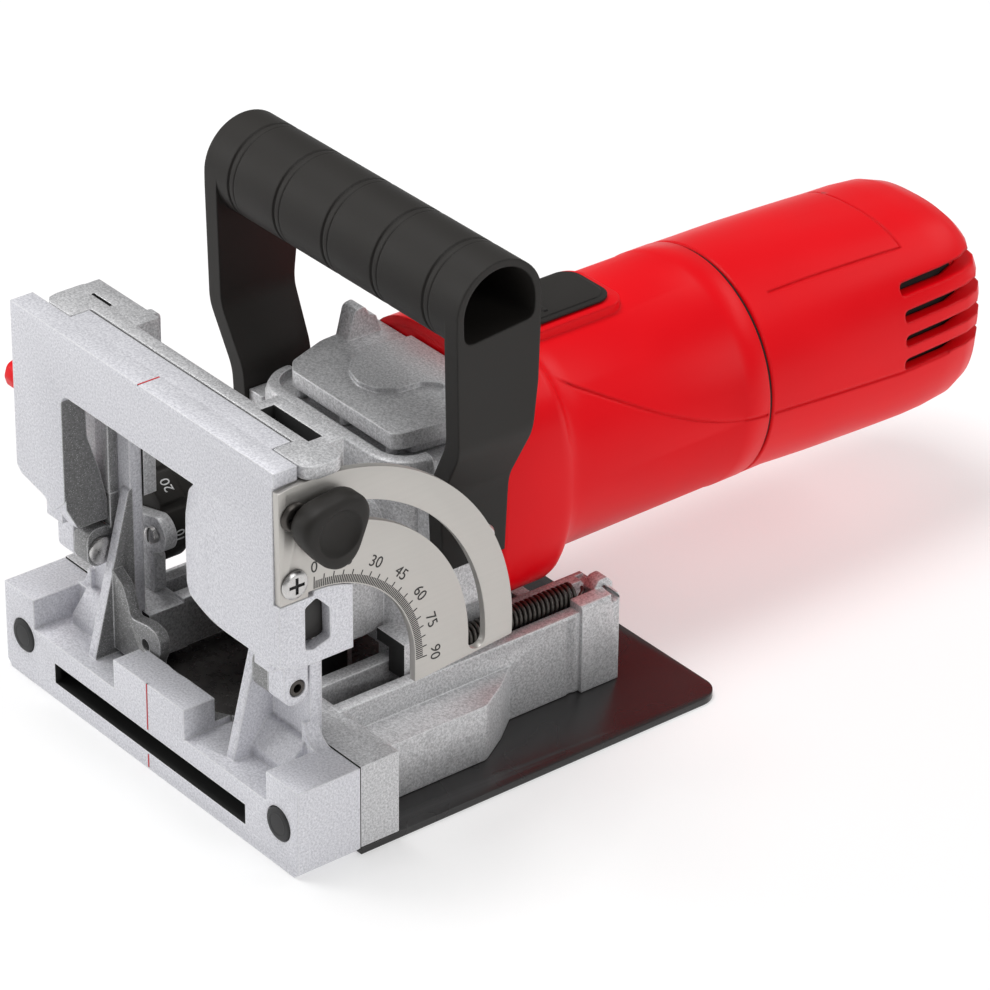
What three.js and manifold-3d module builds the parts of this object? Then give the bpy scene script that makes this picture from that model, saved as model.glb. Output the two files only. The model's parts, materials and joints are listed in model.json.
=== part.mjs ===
// Biscuit (plate) joiner with tilting fence. Millimetres, +Z up, front (blade side) towards -Y,
// right-hand side towards +X. Drawn with the floor at z = 0 and the front face of the block at
// y = 0; put() then moves every piece by ORIGIN_Y.
import * as THREE from 'three';
import { mergeVertices } from 'three/addons/utils/BufferGeometryUtils.js';
import Module from 'manifold-3d';

const wasm = await Module();
wasm.setup();

// ---------------------------------------------------------------- driving dimensions
const HALF_W = 70;            // half width of the base and front block
const BLOCK_D = 20.8;         // front block, front to back
const BLOCK_H = 28;           // front block corner height
const LEDGE_Z = 18.5;         // lower ledge between the corner blocks
const PLATE_T = 2.1;          // steel base plate
const BASE_L = 151;           // front face to the rear edge of the plate
const SLOT_Z = [5.6, 12.1];   // blade slot
const BLADE = { r: 50, z: [7, 10.8], y: 53 };
const STROKE = 14;            // plunge stroke
const POST = { x: [31.5, 51.5], y: [18, 22], top: 100 };
const PIVOT = { y: 11, z: 50 };               // fence hinge
const QUAD = { out: 68, in: 34.3, slot: 55.6, slotW: 2.95, x: [60.3, 62.6] };
const TOP_Z = 122.5;          // top of the fence and of the carriage
const MOTOR_Z = 64.3;         // motor axis height
const BODY_R = 36.3;          // motor housing radius
const SEAM_Y = 196.5;         // joint between front shell and rear cap
const REAR_Y = 289;           // rear end of the housing
const BAR = { y: 78, z: 144, r: 14.4, half: 57 };
const SCREW_Y = 4.9;          // the quadrant's two screws
const SCREW_Z = [109.1, 88.4];
const NOSE = { r: 28, z: 36, neck: 14.5 };     // round nose of the gear housing, about the spindle
const SKIRT = { y: 96, top: 84.2, r: 34.6 };   // front shell's skirt round the gear housing
const LOCK = { y: 89, z: 52 };                 // spindle lock button
const CAP_DROP = 2.2;         // the rear cap's centre line sinks by this much towards the rear
const TEETH = { pinion: 14, crown: 32 };       // equal pitch at radii 7 and 16
const ORIGIN_Y = -10;         // the part's origin lies on the sole, 10 mm behind the front face
const G = 0.3;                // assembly gap

// ---------------------------------------------------------------- small modelling kit
const rad = (d) => (d * Math.PI) / 180;

function toSolid(geo) {
  const g = geo.clone();
  g.deleteAttribute('normal');
  g.deleteAttribute('uv');
  const m = mergeVertices(g.index ? g.toNonIndexed() : g, 1e-4);
  return new wasm.Manifold(new wasm.Mesh({
    numProp: 3,
    vertProperties: new Float32Array(m.attributes.position.array),
    triVerts: new Uint32Array(m.index.array),
  }));
}
function toGeometry(solid) {
  const m = solid.getMesh();
  const n = m.numProp, count = m.vertProperties.length / n;
  const pos = new Float32Array(count * 3);
  for (let i = 0; i < count; i++) for (let k = 0; k < 3; k++) pos[3 * i + k] = m.vertProperties[n * i + k];
  const g = new THREE.BufferGeometry();
  g.setAttribute('position', new THREE.BufferAttribute(pos, 3));
  g.setIndex(new THREE.BufferAttribute(new Uint32Array(m.triVerts), 1));
  return g;
}
const add = (...s) => s.reduce((a, b) => a.add(b));
const cut = (a, ...s) => s.reduce((x, y) => x.subtract(y), a);

function box(x0, x1, y0, y1, z0, z1) {
  const g = new THREE.BoxGeometry(Math.abs(x1 - x0), Math.abs(y1 - y0), Math.abs(z1 - z0));
  g.translate((x0 + x1) / 2, (y0 + y1) / 2, (z0 + z1) / 2);
  return toSolid(g);
}
// A box turned by deg about the axis through c.
function turnedBox(x0, x1, y0, y1, z0, z1, axis, deg, c) {
  const g = new THREE.BoxGeometry(x1 - x0, y1 - y0, z1 - z0);
  g.translate((x0 + x1) / 2 - c[0], (y0 + y1) / 2 - c[1], (z0 + z1) / 2 - c[2]);
  if (axis === 'y') g.rotateY(rad(deg)); else g.rotateZ(rad(deg));
  g.translate(...c);
  return toSolid(g);
}
// A polygon extruded along one axis. Points are (x,y) for 'z', (x,z) for 'y' and (y,z) for 'x'.
function prism(axis, points, a, b) {
  const [lo, hi] = a < b ? [a, b] : [b, a];
  const shape = new THREE.Shape(points.map((p) => new THREE.Vector2(p[0], p[1])));
  const g = new THREE.ExtrudeGeometry(shape, { depth: hi - lo, bevelEnabled: false, curveSegments: 1 });
  const m = new THREE.Matrix4();
  if (axis === 'z') m.set(1, 0, 0, 0, 0, 1, 0, 0, 0, 0, 1, lo, 0, 0, 0, 1);
  if (axis === 'x') m.set(0, 0, 1, lo, 1, 0, 0, 0, 0, 1, 0, 0, 0, 0, 0, 1);
  if (axis === 'y') m.set(1, 0, 0, 0, 0, 0, -1, hi, 0, 1, 0, 0, 0, 0, 0, 1);
  g.applyMatrix4(m);
  return toSolid(g);
}
function orient(g, axis) {                     // from the Y axis to the asked one
  if (axis === 'z') g.rotateX(Math.PI / 2);
  if (axis === 'x') g.rotateZ(-Math.PI / 2);
  return g;
}
function cyl(axis, r, a, b, p, q, seg = 20, r2 = r) {   // centre (p,q) in the other two axes
  const g = orient(new THREE.CylinderGeometry(axis === 'z' ? r : r2, axis === 'z' ? r2 : r,
    Math.abs(b - a), seg), axis);
  const m = (a + b) / 2;
  if (axis === 'x') g.translate(m, p, q);
  if (axis === 'y') g.translate(p, m, q);
  if (axis === 'z') g.translate(p, q, m);
  return toSolid(g);
}
const tube = (axis, r, ri, a, b, p, q, seg = 24) =>
  cut(cyl(axis, r, a, b, p, q, seg), cyl(axis, ri, a - 1, b + 1, p, q, seg));
// Arc points about (cy,cz): angle 0 is up, positive towards +Y (rear).
function arc(cy, cz, r, a0, a1, n) {
  return Array.from({ length: n + 1 }, (_, i) => {
    const t = rad(a0 + ((a1 - a0) * i) / n);
    return [cy + r * Math.sin(t), cz + r * Math.cos(t)];
  });
}
function roundRect(x0, x1, y0, y1, r, n = 5) {
  const pts = [];
  const corner = (cx, cy, a0) => {
    for (let i = 0; i <= n; i++) {
      const t = rad(a0 + (90 * i) / n);
      pts.push([cx + r * Math.cos(t), cy + r * Math.sin(t)]);
    }
  };
  corner(x1 - r, y1 - r, 0);
  corner(x0 + r, y1 - r, 90);
  corner(x0 + r, y0 + r, 180);
  corner(x1 - r, y0 + r, 270);
  return pts;
}
// Closed body along Y through rings of equal point count: each ring is {y, pts:[[x,z],...]}.
function loft(rings) {
  const n = rings[0].pts.length, v = [], f = [];
  for (const r of rings) for (const [x, z] of r.pts) v.push(x, r.y, z);
  for (let k = 0; k + 1 < rings.length; k++) {
    for (let i = 0; i < n; i++) {
      const j = (i + 1) % n, a = k * n + i, b = k * n + j, c = a + n, d = b + n;
      f.push(a, c, b, b, c, d);
    }
  }
  for (const [k, flip] of [[0, false], [rings.length - 1, true]]) {
    const mx = rings[k].pts.reduce((s, p) => s + p[0], 0) / n;
    const mz = rings[k].pts.reduce((s, p) => s + p[1], 0) / n;
    const c = v.length / 3;
    v.push(mx, rings[k].y, mz);
    for (let i = 0; i < n; i++) {
      const a = k * n + i, b = k * n + ((i + 1) % n);
      if (flip) f.push(c, b, a); else f.push(c, a, b);
    }
  }
  const g = new THREE.BufferGeometry();
  g.setAttribute('position', new THREE.Float32BufferAttribute(v, 3));
  g.setIndex(f);
  return toSolid(g);
}
// Superellipse ring about the motor axis; e = 2 is a circle, larger is squarer.
function ring(y, r, e = 2, n = 28, cz = MOTOR_Z) {
  const pts = [];
  for (let i = 0; i < n; i++) {
    const t = (2 * Math.PI * i) / n, c = Math.cos(t), s = Math.sin(t);
    const k = r / Math.pow(Math.pow(Math.abs(c), e) + Math.pow(Math.abs(s), e), 1 / e);
    pts.push([k * c, cz + k * s]);
  }
  return { y, pts };
}
// Coil along Y with square wire, as one closed sweep.
function coil(cx, cz, y0, y1, r, wire, turns, seg) {
  const total = Math.round(turns * seg), v = [], f = [];
  for (let i = 0; i <= total; i++) {
    const t = (2 * Math.PI * i) / seg, y = y0 + ((y1 - y0) * i) / total;
    const c = Math.cos(t), s = Math.sin(t);
    for (const [dr, dy] of [[-wire, 0], [0, wire], [wire, 0], [0, -wire]]) {
      v.push(cx + (r + dr) * c, y + dy, cz + (r + dr) * s);
    }
  }
  for (let i = 0; i < total; i++) {
    for (let k = 0; k < 4; k++) {
      const a = 4 * i + k, b = 4 * i + ((k + 1) % 4), c = a + 4, d = b + 4;
      f.push(a, c, b, b, c, d);
    }
  }
  f.push(0, 1, 2, 0, 2, 3);
  const e = 4 * total;
  f.push(e, e + 2, e + 1, e, e + 3, e + 2);
  const g = new THREE.BufferGeometry();
  g.setAttribute('position', new THREE.Float32BufferAttribute(v, 3));
  g.setIndex(f);
  return toSolid(g);
}

// ---------------------------------------------------------------- base
function basePlate() {
  const r = 7;
  const pts = [[-HALF_W, BLOCK_D + G], [HALF_W, BLOCK_D + G]];
  for (let i = 0; i <= 5; i++) {
    const t = rad(18 * i);
    pts.push([HALF_W - r + r * Math.cos(t), BASE_L - r + r * Math.sin(t)]);
  }
  for (let i = 0; i <= 5; i++) {
    const t = rad(90 + 18 * i);
    pts.push([-HALF_W + r + r * Math.cos(t), BASE_L - r + r * Math.sin(t)]);
  }
  const holes = [1, -1].map((s) => add(
    cyl('z', 2.7, -0.2, 1.9, s * 62, 27.5, 14, 4.8), cyl('z', 2.6, 1, 4, s * 62, 27.5, 14)));
  return cut(prism('z', pts, 0, PLATE_T), ...holes);
}
const plateScrew = (s) => add(
  cyl('z', 2.3, 0.1, 1.5, s * 62, 27.5, 14, 4.0),
  cyl('z', 1.9, 1.2, 12, s * 62, 27.5, 12));

function frontBlock() {
  const c = 2.2;
  let b = prism('y', [[-HALF_W, c], [-HALF_W + c, 0], [HALF_W - c, 0], [HALF_W, c],
    [HALF_W, BLOCK_H], [-HALF_W, BLOCK_H]], 0, BLOCK_D);
  b = cut(b,
    box(-55.5, -16, -1, 16, LEDGE_Z, 40), box(17.5, 55.5, -1, 16, LEDGE_Z, 40),
    box(-31.5, 31.5, 9, 30, 20.5, 40));
  for (const s of [1, -1]) {
    b = add(b,
      box(s * POST.x[0], s * POST.x[1], POST.y[0], POST.y[1], 16, POST.top),
      prism('x', [[5, 18], [18.5, 18], [18.5, 69], [17.4, 69]], s * 31.5, s * 34.6),
      prism('y', [[s * 50, 27], ...Array.from({ length: 7 }, (_, i) => {
        const t = rad(15 * i);
        return [s * (58 - 6.5 * Math.sin(t)), 34.5 - 6.5 * Math.cos(t)];
      }), [s * 50, 34.5]].map((p) => [p[0], p[1]]), POST.y[0] - 1.5, BLOCK_D));
  }
  b = cut(b,
    box(-90, 90, BLOCK_D, 30, -5, BLOCK_H + 0.7),
    prism('z', [[-45.6, -1], [45.6, -1], [45.6, 2], [50.8, 9], [50.8, 22], [-50.8, 22],
      [-50.8, 9], [-45.6, 2]], ...SLOT_Z),
    cyl('z', 30, SLOT_Z[0], 40, 0, 40.2, 40));
  // eyed lug between the left rib and the middle
  const lug = [[-31.6, 46], [-26.5, 43], [-24.2, 38], [-23, 34], [-14.6, 35.4], [-10.5, 34.8], [-9, 32.5],
    [-9, 28.6], [-11, 24.5], [-11, 20.3], [-31.6, 20.3]];
  b = add(b, prism('y', lug, 11, 14.5));
  return cut(b, cyl('y', 1.9, 9, 18, -16, 28.5, 16), ...[1, -1].map((s) => cyl('y', 5.3, -1, 6.5, s * 61, 14, 28)));
}
const gripPad = (s) => cyl('y', 5, -0.6, 6.2, s * 61, 14, 28);

function baseCasting() {
  const z0 = PLATE_T + G, y0 = BLOCK_D + G;
  let b = box(-HALF_W, HALF_W, y0, 34, z0, 28.3);
  for (const s of [1, -1]) {
    b = add(b,
      box(s * 40.8, s * 44.8, 33, 131.5, z0, 28.4),
      box(s * 40.8, s * 46.4, 118, 131.5, z0, 30.4),
      prism('z', [[s * 44, 33], [s * 57, 33], [s * 57, 75], [s * 51, 85], [s * 44.8, 93], [s * 44, 93]],
        z0, 20.3),
      box(s * 28.5, s * 33, 33, 131.5, 13.6, 29.5),
      box(s * 28.5, s * 33, 104, 131.5, z0, 20),
      box(s * 32, s * 42, 126.5, 131.5, z0, 16),
      prism('x', [[126.5, 14], [131.5, 14], [133.5, 31], [131.5, 33.4], [128.5, 33.2], [126.5, 30.5]],
        s * 36.2, s * 40.9));
  }
  b = add(b, box(-44, 44, 127, 131.5, z0, 12));
  // blade chamber, nose opening and spring hook holes
  const chamber = add(
    cyl('z', 51.6, 4.6, 13.3, 0, BLADE.y, 48), cyl('z', 51.6, 4.6, 13.3, 0, BLADE.y - STROKE, 48),
    box(-51.6, 51.6, BLADE.y - STROKE, BLADE.y, 4.6, 13.3));
  b = cut(b, chamber, box(-28.4, 28.4, 10, 50, 1, 40),
    ...[1, -1].map((s) => cyl('x', 1.5, s * 30, s * 50, 130, 29.6, 14)),
    ...[1, -1].map((s) => cyl('z', 2.3, 1, 13, s * 62, 27.5, 16)));
  return b;
}
const stopBracket = () => cut(add(
  prism('y', [[-56, 51.5], [-56, 42.5], [-45, 42.5], [-43.6, 36], [-43.6, 28.6], [-37.8, 28.6], [-37.6, 40],
    ...Array.from({ length: 9 }, (_, i) => {
      const t = rad(-80 + 21 * i);
      return [-37.2 + 5.6 * Math.cos(t), 48 + 5.6 * Math.sin(t)];
    })], 29.6, 33.6),
  cyl('y', 2.4, 33, 46.2, -52, 46, 16)),
cyl('y', 1.6, 28, 35, -37.2, 48, 12));
const bracketScrew = () => cut(add(cyl('y', 2.6, 27.4, 29.3, -37.2, 48, 20), cyl('y', 1.3, 29, 33, -37.2, 48, 12)),
  box(-37.7, -36.7, 26, 28.2, 45.8, 50.2));
function depthTurret() {
  const body = [tube('y', 15, 2.7, 34, 42.5, -52, 46, 30)];
  for (let i = 0; i < 6; i++) {                 // six stop steps on the rear face
    const a0 = 60 * i, h = 46.8 - 0.7 * i;
    body.push(prism('y', [...Array.from({ length: 4 }, (_, k) => {
      const t = rad(a0 + k * 20);
      return [-52 + 14 * Math.sin(t), 46 + 14 * Math.cos(t)];
    }), ...Array.from({ length: 4 }, (_, k) => {
      const t = rad(a0 + 60 - k * 20);
      return [-52 + 5 * Math.sin(t), 46 + 5 * Math.cos(t)];
    })], 42, h));
  }
  let t = add(...body);
  for (let i = 0; i < 8; i++) {
    const a = rad(45 * i + 15);
    t = cut(t, cyl('y', 1.5, 33, 43, -52 + 15.4 * Math.sin(a), 46 + 15.4 * Math.cos(a), 8));
  }
  return t;
}
const returnSpring = (s) => add(
  coil(s * 36.9, 29.6, 66.5, 124, 3.0, 0.62, 11, 6),
  cyl('y', 0.7, 62.6, 67.5, s * 36.9 + 3.0, 29.6, 8),
  box(s * 36.9 + 2.4, s * 36.9 + 3.7, 123.2, 125.6, 28.9, 30.2));

// ---------------------------------------------------------------- height carriage
function carriage() {
  let b = box(-56, 50, 14.7, 18.9, 112, TOP_Z);
  for (const s of [1, -1]) {
    b = add(b,
      box(s * 31, s * 56, 22.3, 26.5, 66, TOP_Z),
      box(s * 51.8, s * 56, 14.7, 26.5, 66, TOP_Z),
      box(s * 37, s * 56, 14.7, 17.7, 66, TOP_Z),
      box(s * 27.5, s * 56, 14.7, 26.5, 112, TOP_Z),
      box(s * 37, s * 52, 14.7, 17.7, 57, 67));
  }
  b = add(b,
    prism('z', [[-56.4, 12.6], [-55.8, 9.6], [-53.5, 8], [-43, 8], [-43, 14.8], [-39.4, 15.2], [-39.4, 20.3],
      [-44.2, 23.2], [-53, 24], [-55.2, 23.4], [-56.4, 21]], 112, TOP_Z), box(50, 56, 8.2, 21.4, 112, TOP_Z),
    prism('z', roundRect(50, 64.4, 8.2, 21.4, 4), 118.7, TOP_Z),
    box(-34, -31, 18, 29.5, 108, TOP_Z - 0.6),
    prism('x', roundRect(9.8, 21, 97, 113.5, 3), 55, 59.8));
  // inner hinge ears
  for (const [x0, x1] of [[41, 48], [-43.1, -36.7]]) {
    b = add(b, prism('x', roundRect(6.5, 15.6, 45, 57, 2.4, 4), x0, x1), box(x0, x1, 14.6, 17.7, 50, 66.5));
  }
  return cut(b,
    box(31, 52.4, 17.7, 22.3, 60, 130),
    box(-51.8, -31.2, 17.7, 22.3, 60, 119.3), box(-50, -41, 19.6, 20.6, 119, 130),
    cyl('x', 2.7, -60, 60, PIVOT.y, PIVOT.z, 20),
    cyl('x', 2.6, 53, 62, 12.9, 105.6, 20),
    cyl('x', 3.2, -58, -50, 20, 94, 20));
}
const tiltBolt = () => cyl('x', 2.3, 53.4, 68.6, 12.9, 105.6, 20);
const tiltPointer = () => prism('x', [[24, 66.4], [24, 79], [16, 81.6], [8.4, 81.6], [8.4, 66.4]], 56.3, 58.6);
const rollPin = () => cut(tube('x', 2.4, 1.3, 41.2, 55.3, PIVOT.y, PIVOT.z, 20),
  box(40, 57, PIVOT.y - 0.3, PIVOT.y + 0.3, PIVOT.z - 4, PIVOT.z - 1));
const hingePin = () => add(cyl('x', 2.4, -50.8, -36, PIVOT.y, PIVOT.z, 16),
  cyl('x', 4.2, -36.4, -35.2, PIVOT.y, PIVOT.z, 20));
const clampStud = () => add(cyl('x', 2.9, -62, -53.6, 20, 94, 20), cyl('x', 1.9, -66, -61, 20, 94, 16));
const clampLever = () => cut(add(
  cyl('x', 6.5, -70, -62.4, 20, 94, 28),
  prism('x', [[20, 100], [9, 99.2], [3.6, 97.5], [2.6, 94], [3.6, 90.5], [9, 88.8], [20, 88]],
    -69.4, -63.4)),
  cyl('x', 2.2, -66.4, -61, 20, 94, 16), cyl('x', 3.2, -63.6, -61, 20, 94, 16));

// ---------------------------------------------------------------- tilting fence
function fence() {
  let b = add(
    box(-60.8, 56, 0, 7.6, 103.2, TOP_Z), box(50, 60.8, 0, 7.6, 118.2, TOP_Z),
    box(-42.5, 49.5, 7, 13.9, 112, TOP_Z),
    prism('y', [[-37.7, 103.4], [-37.7, 99.8], [-37, 101.4], [-35.6, 102.7], [-33.9, 103.4]], 0, 5),
    // left leg, cheek and outer ear
    prism('y', [[-60.8, 105], [-60.8, 70.6], [-58.6, 68.6], [-47, 66.2], [-44, 62.5], [-37.5, 68.6],
      [-37.5, 105]], 0, 5),
    prism('x', [[0.5, 105], [7.8, 105], [8.2, 87], [12, 75], [14.2, 65], [14.2, 58.6], [4.2, 58.6],
      [0.5, 66]], -43.2, -37.5),
    prism('x', roundRect(6.5, 14.4, 45.2, 66, 2.2, 4), -51, -43.5),
    box(-51, -43.5, 3, 14.2, 58, 72));
  // right leg: flat plate whose inner edge rolls back
  const plan = [[14, 6], [14, 4.6], [17, 3.1], [22, 1.6], [29, 0.5], [37, 0], [60, 0], [60, 6]];
  const face = [[25, 105], [19.5, 100], [16, 92], [14, 82], [14, 66], [16.4, 63.6], [60, 63.6], [60, 105]];
  b = add(b,
    prism('z', plan, 60, 105).intersect(prism('y', face, -1, 8)),
    box(50, 60, 0, 7.8, 82, 118.5),
    box(40, 62.6, 0, 4, 63.6, 82.4),
    prism('x', [[0, 67], [4.6, 62.4], [7, 61.6], [24.3, 61.6], ...arc(PIVOT.y, PIVOT.z, 33.9, 23, 1, 5),
      [11.2, 82.5], [0, 82.5]], 59, 62.6),
    prism('x', roundRect(6.5, 14.4, 45.2, 66, 2.2, 4), 48.4, 55.4),
    box(48.4, 55.2, 2, 14.2, 58.4, 65.8), box(55, 59.6, 2, 14.2, 61.8, 65.8));
  return cut(b,
    prism('x', [[8.4, 66.6], [11, 65.8], [16.8, 67.6], [16.6, 77], [12.2, 81.6], [8.4, 79.6]], 58, 64),
    cyl('x', 2.7, -60, 60, PIVOT.y, PIVOT.z, 20),
    ...SCREW_Z.map((z) => cyl('x', 2.0, 53, 61, SCREW_Y, z, 16)));
}
function quadrant() {
  const { out, slot, slotW } = QUAD, c = [PIVOT.y, PIVOT.z];
  const outer = arc(...c, out, -9.2, 94, 24);
  const inner = arc(...c, QUAD.in, 88, -2.4, 16);
  const pts = [[0.4, 82.9], ...outer, [45.3, 42.5], ...inner, [9.5, 82.9]];
  const end = (deg, a0, a1) => arc(c[0] + slot * Math.sin(rad(deg)), c[1] + slot * Math.cos(rad(deg)), slotW,
    a0, a1, 5);
  const path = [...arc(...c, slot + slotW, -1, 92, 20), ...end(92, 112, 252), ...arc(...c, slot - slotW, 92, -1, 20),
    ...end(-1, 209, 329)];
  return cut(prism('x', pts, ...QUAD.x), prism('x', path, QUAD.x[0] - 1, QUAD.x[1] + 1),
    ...SCREW_Z.map((z) => cyl('x', 2.4, 55, 64, SCREW_Y, z, 16)));
}
const quadScrew = (z) => cut(add(cyl('x', 1.7, 54, 62, SCREW_Y, z, 14), cyl('x', 4.2, 62.9, 64, SCREW_Y, z, 24),
  cyl('x', 2.1, 61.5, 63, SCREW_Y, z, 14)),
box(63.4, 66, SCREW_Y - 0.5, SCREW_Y + 0.5, z - 2.4, z + 2.4),
box(63.4, 66, SCREW_Y - 2.4, SCREW_Y + 2.4, z - 0.5, z + 0.5));
function tiltKnob() {
  const pts = [];
  for (let i = 0; i < 48; i++) {
    const t = (2 * Math.PI * i) / 48, r = 10.4 + 1.15 * Math.cos(3 * (t - rad(52)));
    pts.push([12.9 + r * Math.sin(t), 105.6 + r * Math.cos(t)]);
  }
  return cut(add(prism('x', pts, 64.9, 72.6), cyl('x', 3.7, 63, 65, 12.9, 105.6, 20)),
    cyl('x', 5.2, 70.6, 74, 12.9, 105.6, 28), cyl('x', 2.6, 60, 69, 12.9, 105.6, 20));
}

// ---------------------------------------------------------------- motor unit
function gearHousing() {
  let b = add(
    cyl('z', NOSE.r, NOSE.z, 71, 0, 53, 36), cyl('z', 22, 71, 76.5, 0, 53, 36, NOSE.r),
    cyl('z', NOSE.neck, 14.7, NOSE.z + 1, 0, 53, 32),
    prism('y', [[-33, 36], [33, 36], [37, 40], [37, 78], [34, 83.5], [28, 86], [-31.5, 86],
      [-35.6, 83], [-37, 78], [-37, 40]], 62, 104.7).intersect(prism('z', roundRect(-37, 37, 62, 120, 14), 20, 100)),
    box(-33, 33, 62, 104.7, 30, 37),
    cut(prism('z', roundRect(-35.5, 33, 61.6, 120, 13), 84, 88.6),
      prism('z', roundRect(-31.6, 29, 65.6, 120, 9), 80, 90), box(-60, 60, 75, 130, 80, 95)));
  for (const s of [1, -1]) {
    b = add(b,
      box(s * 24.6, s * 28.2, 62, 104.7, 20, 31),
      box(s * 36, s * 42, 67, 89, 61, 80),
      box(s * 33.4, s * 40.4, 58.8, 62.3, 26.4, 37.8), box(s * 28, s * 40.4, 58.8, 67, 34, 37.8));
  }
  b = add(b, box(-58, -36, 74, 82, 49.5, 59.6));        // stop rod lug
  const skirt = cut(loft([ring(SKIRT.y - G, 46, 3.4), ring(106, 46, 3.4)]),
    loft([ring(90, SKIRT.r, 3.4), ring(110, SKIRT.r, 3.4)]), box(-60, 60, 90, 110, SKIRT.top + G, 120));
  return cut(b, skirt,
    cyl('y', 12.3, 53, 106, 0, MOTOR_Z, 32),
    cyl('z', 20.6, 47, 75, 0, 53, 28),
    cyl('z', 8.6, 14, 50, 0, 53, 20),
    cyl('z', 11.6, 14, 33.4, 0, 53, 24),
    cyl('y', 2.7, 70, 84, -52, 54.8, 16),
    cyl('x', 5.3, -40, -29, LOCK.y, LOCK.z, 24),
    ...[1, -1].map((s) => cyl('x', 2.1, s * 38, s * 44, 78, 70, 12)));
}
function gearCover() {
  const plan = [[-21.4, 67], [24.2, 66.8], [25.8, 69.4], [28, 84], [31, 104.4], [-31.5, 104.4], [-30.6, 84],
    [-25.8, 70.4]];
  const crescent = [[-15, 104.2], [-16.5, 92], [-15, 83], [-10, 78], [-3, 76], [3, 77.5], [7, 82], [8, 90], [12, 94],
    [28, 94], [30.6, 104.2]];
  let b = add(
    prism('z', plan, 90, 95), prism('z', crescent, 94.5, 96.6),
    prism('z', [[-24, 74], [24, 74], [28, 104.4], [-28, 104.4]], 86.3, 90.5),
    prism('x', [[89.5, 94.5], [92, 104], [97, 104.6], [101.5, 94.5]], -31, -25.2));
  for (const x of [-21, -1, 20]) b = add(b, cyl('z', 1.7, 86.3, 91, x, 70.2, 12));
  return b;
}
const flangeRing = (y, r) => ring(y, r, 3.4);
function frontShell() {
  const outer = add(
    loft([flangeRing(SKIRT.y, 36.6), flangeRing(SKIRT.y + 1, 37.4), flangeRing(126, 37.4), ring(130, 37, 2.75),
      ring(133, 36.6, 2.2), ring(150, BODY_R), ring(SEAM_Y - 1.4, BODY_R - 0.3)]),
    prism('z', roundRect(-12.6, 12.6, 115, 161, 6.5), 94, 101.6));
  const inner = loft([ring(108.5, 32, 2.4), ring(124, 33, 2.2), ring(140, 33.2), ring(SEAM_Y + 2, 33.2)]);
  const inSkirt = loft([flangeRing(90, SKIRT.r + 0.4), flangeRing(104.9, SKIRT.r + 0.4)]);
  return cut(outer, inner, inSkirt, box(-60, 60, 90, 104.7, SKIRT.top, 120),
    cyl('y', 12.3, 100, 110, 0, MOTOR_Z, 32), box(-7, 7, 124, 150, 90, 104));
}
const seamRing = () => tube('y', BODY_R - 0.9, 33.4, SEAM_Y - 1.1, SEAM_Y + 1.1, 0, MOTOR_Z, 28);
function rearCap() {
  const e = 2.6;
  const at = (y, r, k) => ring(y, r, k, 28, MOTOR_Z - CAP_DROP * Math.min(1, Math.max(0, (y - 205) / 55)));
  const outer = loft([at(SEAM_Y + 1.4, BODY_R - 0.5, 2.05), at(205, 35.7, 2.05), at(220, 35.3, 2.2),
    at(250, 33.8, 2.5), at(268, 33, e), at(277, 32.2, e), at(283, 30.4, e), at(287, 27, e), at(REAR_Y, 21.5, e)]);
  const inner = loft([at(SEAM_Y - 1, 32.6, 2.05), at(205, 32.4, 2.05), at(240, 31.4, 2.1), at(270, 29.8, e),
    at(279, 27, e), at(285.6, 19, e)]);
  let b = cut(outer, inner);
  b = add(b, tube('y', 12.7, 10.4, 262, 287, 0, MOTOR_Z, 28));
  const vents = [];
  for (const s of [1, -1]) {
    for (let i = 0; i < 4; i++) vents.push(box(s * 14, s * 60, 251, 284, 57 + 7.7 * i, 60.6 + 7.7 * i));
  }
  return cut(b, ...vents, cyl('y', 5, 270, 295, 0, 46.5, 20));
}
const cableGland = () => cut(add(cyl('y', 4.6, 277, 293, 0, 46.5, 20), cyl('y', 6.2, 289.4, 293, 0, 46.5, 20)),
  cyl('y', 3, 270, 300, 0, 46.5, 16));
function handle() {
  const { y, z, r, half } = BAR;
  const prof = [[-half, 0], [-half, r]];
  for (const c of [-44.5, -23.5, -1.5, 20.5, 43]) {
    prof.push([c - 1.3, r], [c - 1, r - 0.7], [c + 1.2, r]);
  }
  prof.push([half, r], [half, 0]);
  const g = new THREE.LatheGeometry(prof.map((p) => new THREE.Vector2(p[1], p[0])), 22);
  g.rotateZ(-Math.PI / 2);
  g.translate(0, y, z);
  let b = toSolid(g);
  if (b.volume() < 0) throw new Error('handle bar is inside out');
  const side = [...arc(y, z, r, -90, 90, 9), [92.2, 136], [91.6, 118], [90, 103], [88, 62], [66.5, 62],
    [64.5, 103], [y - r, z - 4]];
  for (const s of [1, -1]) {
    const front = [[s * half, 160], [s * half, 103], [s * 47.9, 85], [s * 47.9, 62], [s * 42.3, 62],
      [s * 42.3, 86.5], [s * 51.4, 104.4], [s * 51.4, 160]];
    b = add(b, prism('y', front, 50, 110).intersect(prism('x', side, s * 30, s * 70)));
  }
  const bore = [...arc(y, z, 12.2, -90, 90, 10), [y + 12, z - 2.5], [y + 10.4, z - 5], [y + 7.5, z - 6],
    [y - 7.5, z - 7.8], [y - 10.6, z - 6.6], [y - 12, z - 3.5]];
  return cut(b, prism('x', bore, 6, 70), prism('x', bore, -70, -6),
    ...[1, -1].map((s) => cyl('x', 2.3, s * 40, s * 50, y, 70, 14)));
}
const handleScrew = (s) => add(cyl('x', 1.8, s * 38.3, s * 48, BAR.y, 70, 14),
  cyl('x', 4.4, s * 48.2, s * 51, BAR.y, 70, 20), cyl('x', 2, s * 47, s * 48.5, BAR.y, 70, 14));
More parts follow.
